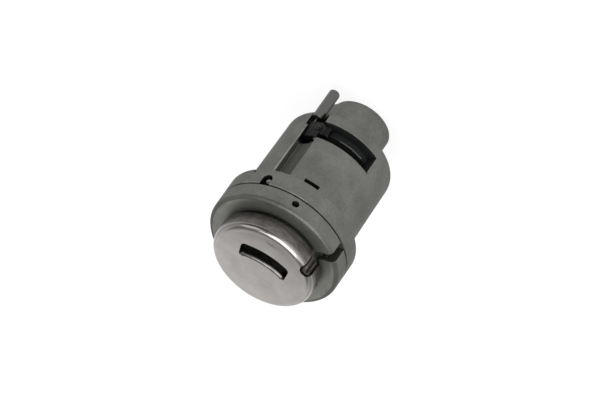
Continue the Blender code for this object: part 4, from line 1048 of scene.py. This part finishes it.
# %% Opening and notch
carve(cap, arched_bar(0.5, (FACE_Z - 1.2, FACE_Z - 0.3), 1.2), how="UNION")
CATCH_SPOT, CATCH_NOTCH_R = at(-46.0, 11.4), 1.6
carve(
    cap,
    arched_bar(0.0, (FACE_Z - 1.7, FACE_Z + 0.5), 0.8),
    upright_drill(CATCH_SPOT, CATCH_NOTCH_R, (CAP_SKIRT_Z - 0.5, FACE_Z + 0.5), 64),
)
smooth(settle(cap))
dress(cap, stainless, "rotor", "stainless_pressing", "face_cap")
lip = guide_lip(0.7)
smooth(settle(lip, "guide_lip"))
dress(lip, worn_stainless, "rotor", "stainless_pressing")

# %% [markdown]
# ## The release rod
#
# A short steel rod slides in the groove behind the slot and stands out past the
# shoulder. Its end is rounded, and its front end is turned down to a thin neck, which is
# pressed into the slider.

# %% The rod
ROD_Z, ROD_NECK_R, ROD_NECK_Z = (3.0, 11.2), 0.3, 14.8
rod_profile = [(0.25, ROD_Z[0])]
rod_profile += rounded(ROD_R - 0.5, ROD_Z[0] + 0.5, 0.5, -90, 0, 6)
rod_profile += [(ROD_R, ROD_Z[1] - 0.1), (ROD_R - 0.1, ROD_Z[1]), (ROD_NECK_R, ROD_Z[1])]
rod_profile += [(ROD_NECK_R, ROD_NECK_Z - 0.1), (ROD_NECK_R - 0.1, ROD_NECK_Z)]
rod = turn("rod", rod_profile, 48, solid=True)
rod.location = (ROD_SPOT[0] * MM, ROD_SPOT[1] * MM, 0)
smooth(settle(rod))
dress(rod, ground_steel, "release", "steel_pin", "release_rod")

# %% [markdown]
# ## The slider
#
# A block of black nylon fills the port, with an arm in the wall slot and a foot that
# rides on the cam sleeve. Moulded corners are never sharp, so all its edges are rounded,
# and they catch small glints; its finish also paints pale glints on some corners.

# %% The slider
slider = bent_block((32.8, 51.7), (10.3, 11.6), (12.4, 16.6))
arm = bent_block((22.5, 34.1), (10.3, 11.45), (12.8, 15.4))
foot = straight_block(42.0, 2.2, (7.1, 10.8), (14.2, 15.4))
carve(slider, arm, foot, how="UNION")
take_up(slider)
soften = slider.modifiers.new("moulded corners", "BEVEL")
soften.width = 0.14 * MM
soften.segments = 3
soften.limit_method = "ANGLE"
soften.angle_limit = math.radians(40)
bpy.ops.object.modifier_apply(modifier=soften.name)
smooth(settle(slider, "slider"))
dress(slider, nylon, "release", "black_polymer", "release_slider")

# %% [markdown]
# Behind the slider stands its coil spring, copied here from its CAD node onto the housing,
# where it keeps its length. On the real lock, when the slider lifts by 1.5 mm, the 7.3 mm
# spring shortens to 5.8 mm against its fixed end, which lies at a height of 22.7 mm.

# %% The slider's spring
coil = smooth_copy("slider_spring", spring_wire, "housing", "spring_wire")
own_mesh(coil)

# %% [markdown]
# The rod is held in the block by a cross pin, whose head was hammered over by hand. Its
# lumps come from small random moves of a flattened ball's corners, always the same ones.

# %% The staked head
HEAD_BEARING, HEAD_R, HEAD_Z = 37.0, 11.6, 13.6
put_down_everything()
bpy.ops.mesh.primitive_uv_sphere_add(segments=28, ring_count=18, radius=1.0 * MM)
head = bpy.context.object
head.scale = (0.85, 0.32, 0.95)
head.location = (0, -HEAD_R * MM, HEAD_Z * MM)
swing_to(settle(head, "staked_head"), HEAD_BEARING)
take_up(head)
bpy.ops.object.mode_set(mode="EDIT")
bpy.ops.mesh.select_all(action="SELECT")
bpy.ops.transform.vertex_random(offset=0.11 * MM, uniform=1.0, seed=4)
bpy.ops.object.mode_set(mode="OBJECT")
smooth(settle(head), 60)
dress(head, hammered_steel, "release", "steel_pin")

# %% [markdown]
# ## Floor, light and camera
#
# The photograph was taken against white, in soft light from all sides, with a long lens
# that looks down on the key face and leans, so that the barrel lies across the picture.
#
# The floor is a pale matt grey to the light, so that it keeps the lock's shadow, and looks
# white to the camera and in the metal's reflections.

# %% Floor
FLOOR_SIDE, FLOOR_GAP = 6.0, 0.00002
put_down_everything()
bpy.ops.mesh.primitive_plane_add(size=FLOOR_SIDE, location=(0, 0, -FLOOR_GAP))
floor = bpy.context.object
floor.name = "floor"
paper = bpy.data.materials.new("white paper")
paper.use_nodes = True
tree = paper.node_tree
tree.nodes.clear()
path = add(tree, "LightPath")
matt = add(tree, "BsdfDiffuse", {"Color": linear("#e6e6e6")})
seen_matt = add(tree, "BsdfDiffuse", {"Color": linear("#8a8a8a")})
glow = add(tree, "Emission", {"Color": (1, 1, 1, 1), "Strength": 0.86})
seen = add(tree, "AddShader", {}, {0: seen_matt.outputs[0], 1: glow.outputs[0]})
direct = add(
    tree, "Math", {"operation": "MAXIMUM"},
    {0: path.outputs["Is Camera Ray"], 1: path.outputs["Is Glossy Ray"]},
)
either = add(
    tree, "Math", {"operation": "MAXIMUM"},
    {0: direct.outputs[0], 1: path.outputs["Is Transmission Ray"]},
)
mixed = add(tree, "MixShader", {}, {0: either.outputs[0], 1: matt.outputs[0], 2: seen.outputs[0]})
add(tree, "OutputMaterial", {}, {"Surface": mixed.outputs[0]})
floor.data.materials.append(paper)

# %% [markdown]
# The sky is a pale room up to a height of about 35 degrees and darker above, which gives
# the cap's rolled edge its dark and bright bands. It is dimmed low down behind the camera
# and at both sides, as a room is.

# %% Sky
# Each stop is the sine of a height above the floor, and how bright the sky is there.
SKY = ((0.0, 0.9), (0.5, 0.97), (0.565, 0.9), (0.67, 0.3), (1.0, 0.25))
world = bpy.data.worlds.new("studio")
bpy.context.scene.world = world
world.use_nodes = True
sky = world.node_tree
sky.nodes.clear()
direction = add(sky, "TexCoord")
height = add(sky, "SeparateXYZ", {}, {0: direction.outputs["Generated"]})
levels = add(sky, "ValToRGB", {}, {"Fac": height.outputs["Z"]})
stops = levels.color_ramp.elements
while len(stops) < len(SKY):
    stops.new(0.5)
for stop, (position, level) in zip(stops, SKY):
    stop.position = position
    stop.color = (level, level, level, 1)
front = spread(sky, height.outputs["Y"], 0.0, 1.0, 0.1, -0.6)
aside = add(sky, "Math", {"operation": "ABSOLUTE"}, {0: height.outputs["X"]})
sides = spread(sky, aside.outputs[0], 0.0, 0.55, 0.2, 0.9)
low_down = spread(sky, height.outputs["Z"], 1.0, 0.0, 0.5, 0.8)
room = add(sky, "Math", {"operation": "MULTIPLY"}, {0: front, 1: low_down})
dark = add(sky, "Math", {"operation": "MULTIPLY_ADD", 1: 0.6}, {0: room.outputs[0], 2: sides})
dimmed = add(sky, "Math", {"operation": "SUBTRACT", 0: 1.0}, {1: dark.outputs[0]})
air = add(sky, "Background", {}, {"Color": levels.outputs["Color"], "Strength": dimmed.outputs[0]})
add(sky, "OutputWorld", {}, {"Surface": air.outputs[0]})

# %% Lamps
CENTRE = Vector((0, 0, 0.024))
LAMP_DISTANCE = 0.6


def softbox(name, toward, size, power):
    """A square lamp that faces the lock from a direction, with its side in m and its watts."""
    put_down_everything()
    place = CENTRE + Vector(toward).normalized() * LAMP_DISTANCE
    bpy.ops.object.light_add(type="AREA", location=place)
    lamp = bpy.context.object
    lamp.name = name
    lamp.data.size = size
    lamp.data.energy = power
    lamp.rotation_euler = (CENTRE - lamp.location).to_track_quat("-Z", "Y").to_euler()


softbox("key softbox", (-0.49, -0.66, 0.57), 0.72, 1.6)
softbox("fill softbox", (0.69, -0.24, 0.69), 0.36, 0.3)
softbox("overhead softbox", (-0.1, -0.3, 1.0), 0.5, 1.7)

# %% [markdown]
# The camera's directions were worked out from the round edges in the photograph. The point
# on the axis at the joint between flange and collar lies at a known pixel there.

# %% Camera
PICTURE = (600, 400)
JOINT_PIXEL = (282.6, 236.5)
SENSOR_WIDTH = 36
RIGHT = Vector((-0.8171, -0.3314, -0.4715))
UP = Vector((0.5764, -0.4698, -0.6684))
BACK = Vector((0.0, -0.8180, 0.5750))
PIXELS_PER_MM = 4.867
LENS = 400.0
distance = PICTURE[0] * LENS / SENSOR_WIDTH / PIXELS_PER_MM * MM
rightwards = (PICTURE[0] / 2 - JOINT_PIXEL[0]) / PIXELS_PER_MM * MM
upwards = (JOINT_PIXEL[1] - PICTURE[1] / 2) / PIXELS_PER_MM * MM
aim = Vector((0, 0, JOINT_Z * MM)) + RIGHT * rightwards + UP * upwards
put_down_everything()
bpy.ops.object.camera_add(location=aim + BACK * distance)
camera = bpy.context.object
camera.name = "camera"
camera.rotation_mode = "QUATERNION"
axes = Matrix([[RIGHT[i], UP[i], BACK[i]] for i in range(3)])
camera.rotation_quaternion = axes.to_quaternion()
camera.data.lens = LENS
camera.data.clip_start = distance * 0.5
camera.data.clip_end = distance * 3
bpy.context.scene.camera = camera
bpy.context.scene.view_settings.view_transform = "Standard"
print("camera", round(distance * 1000), "mm away")
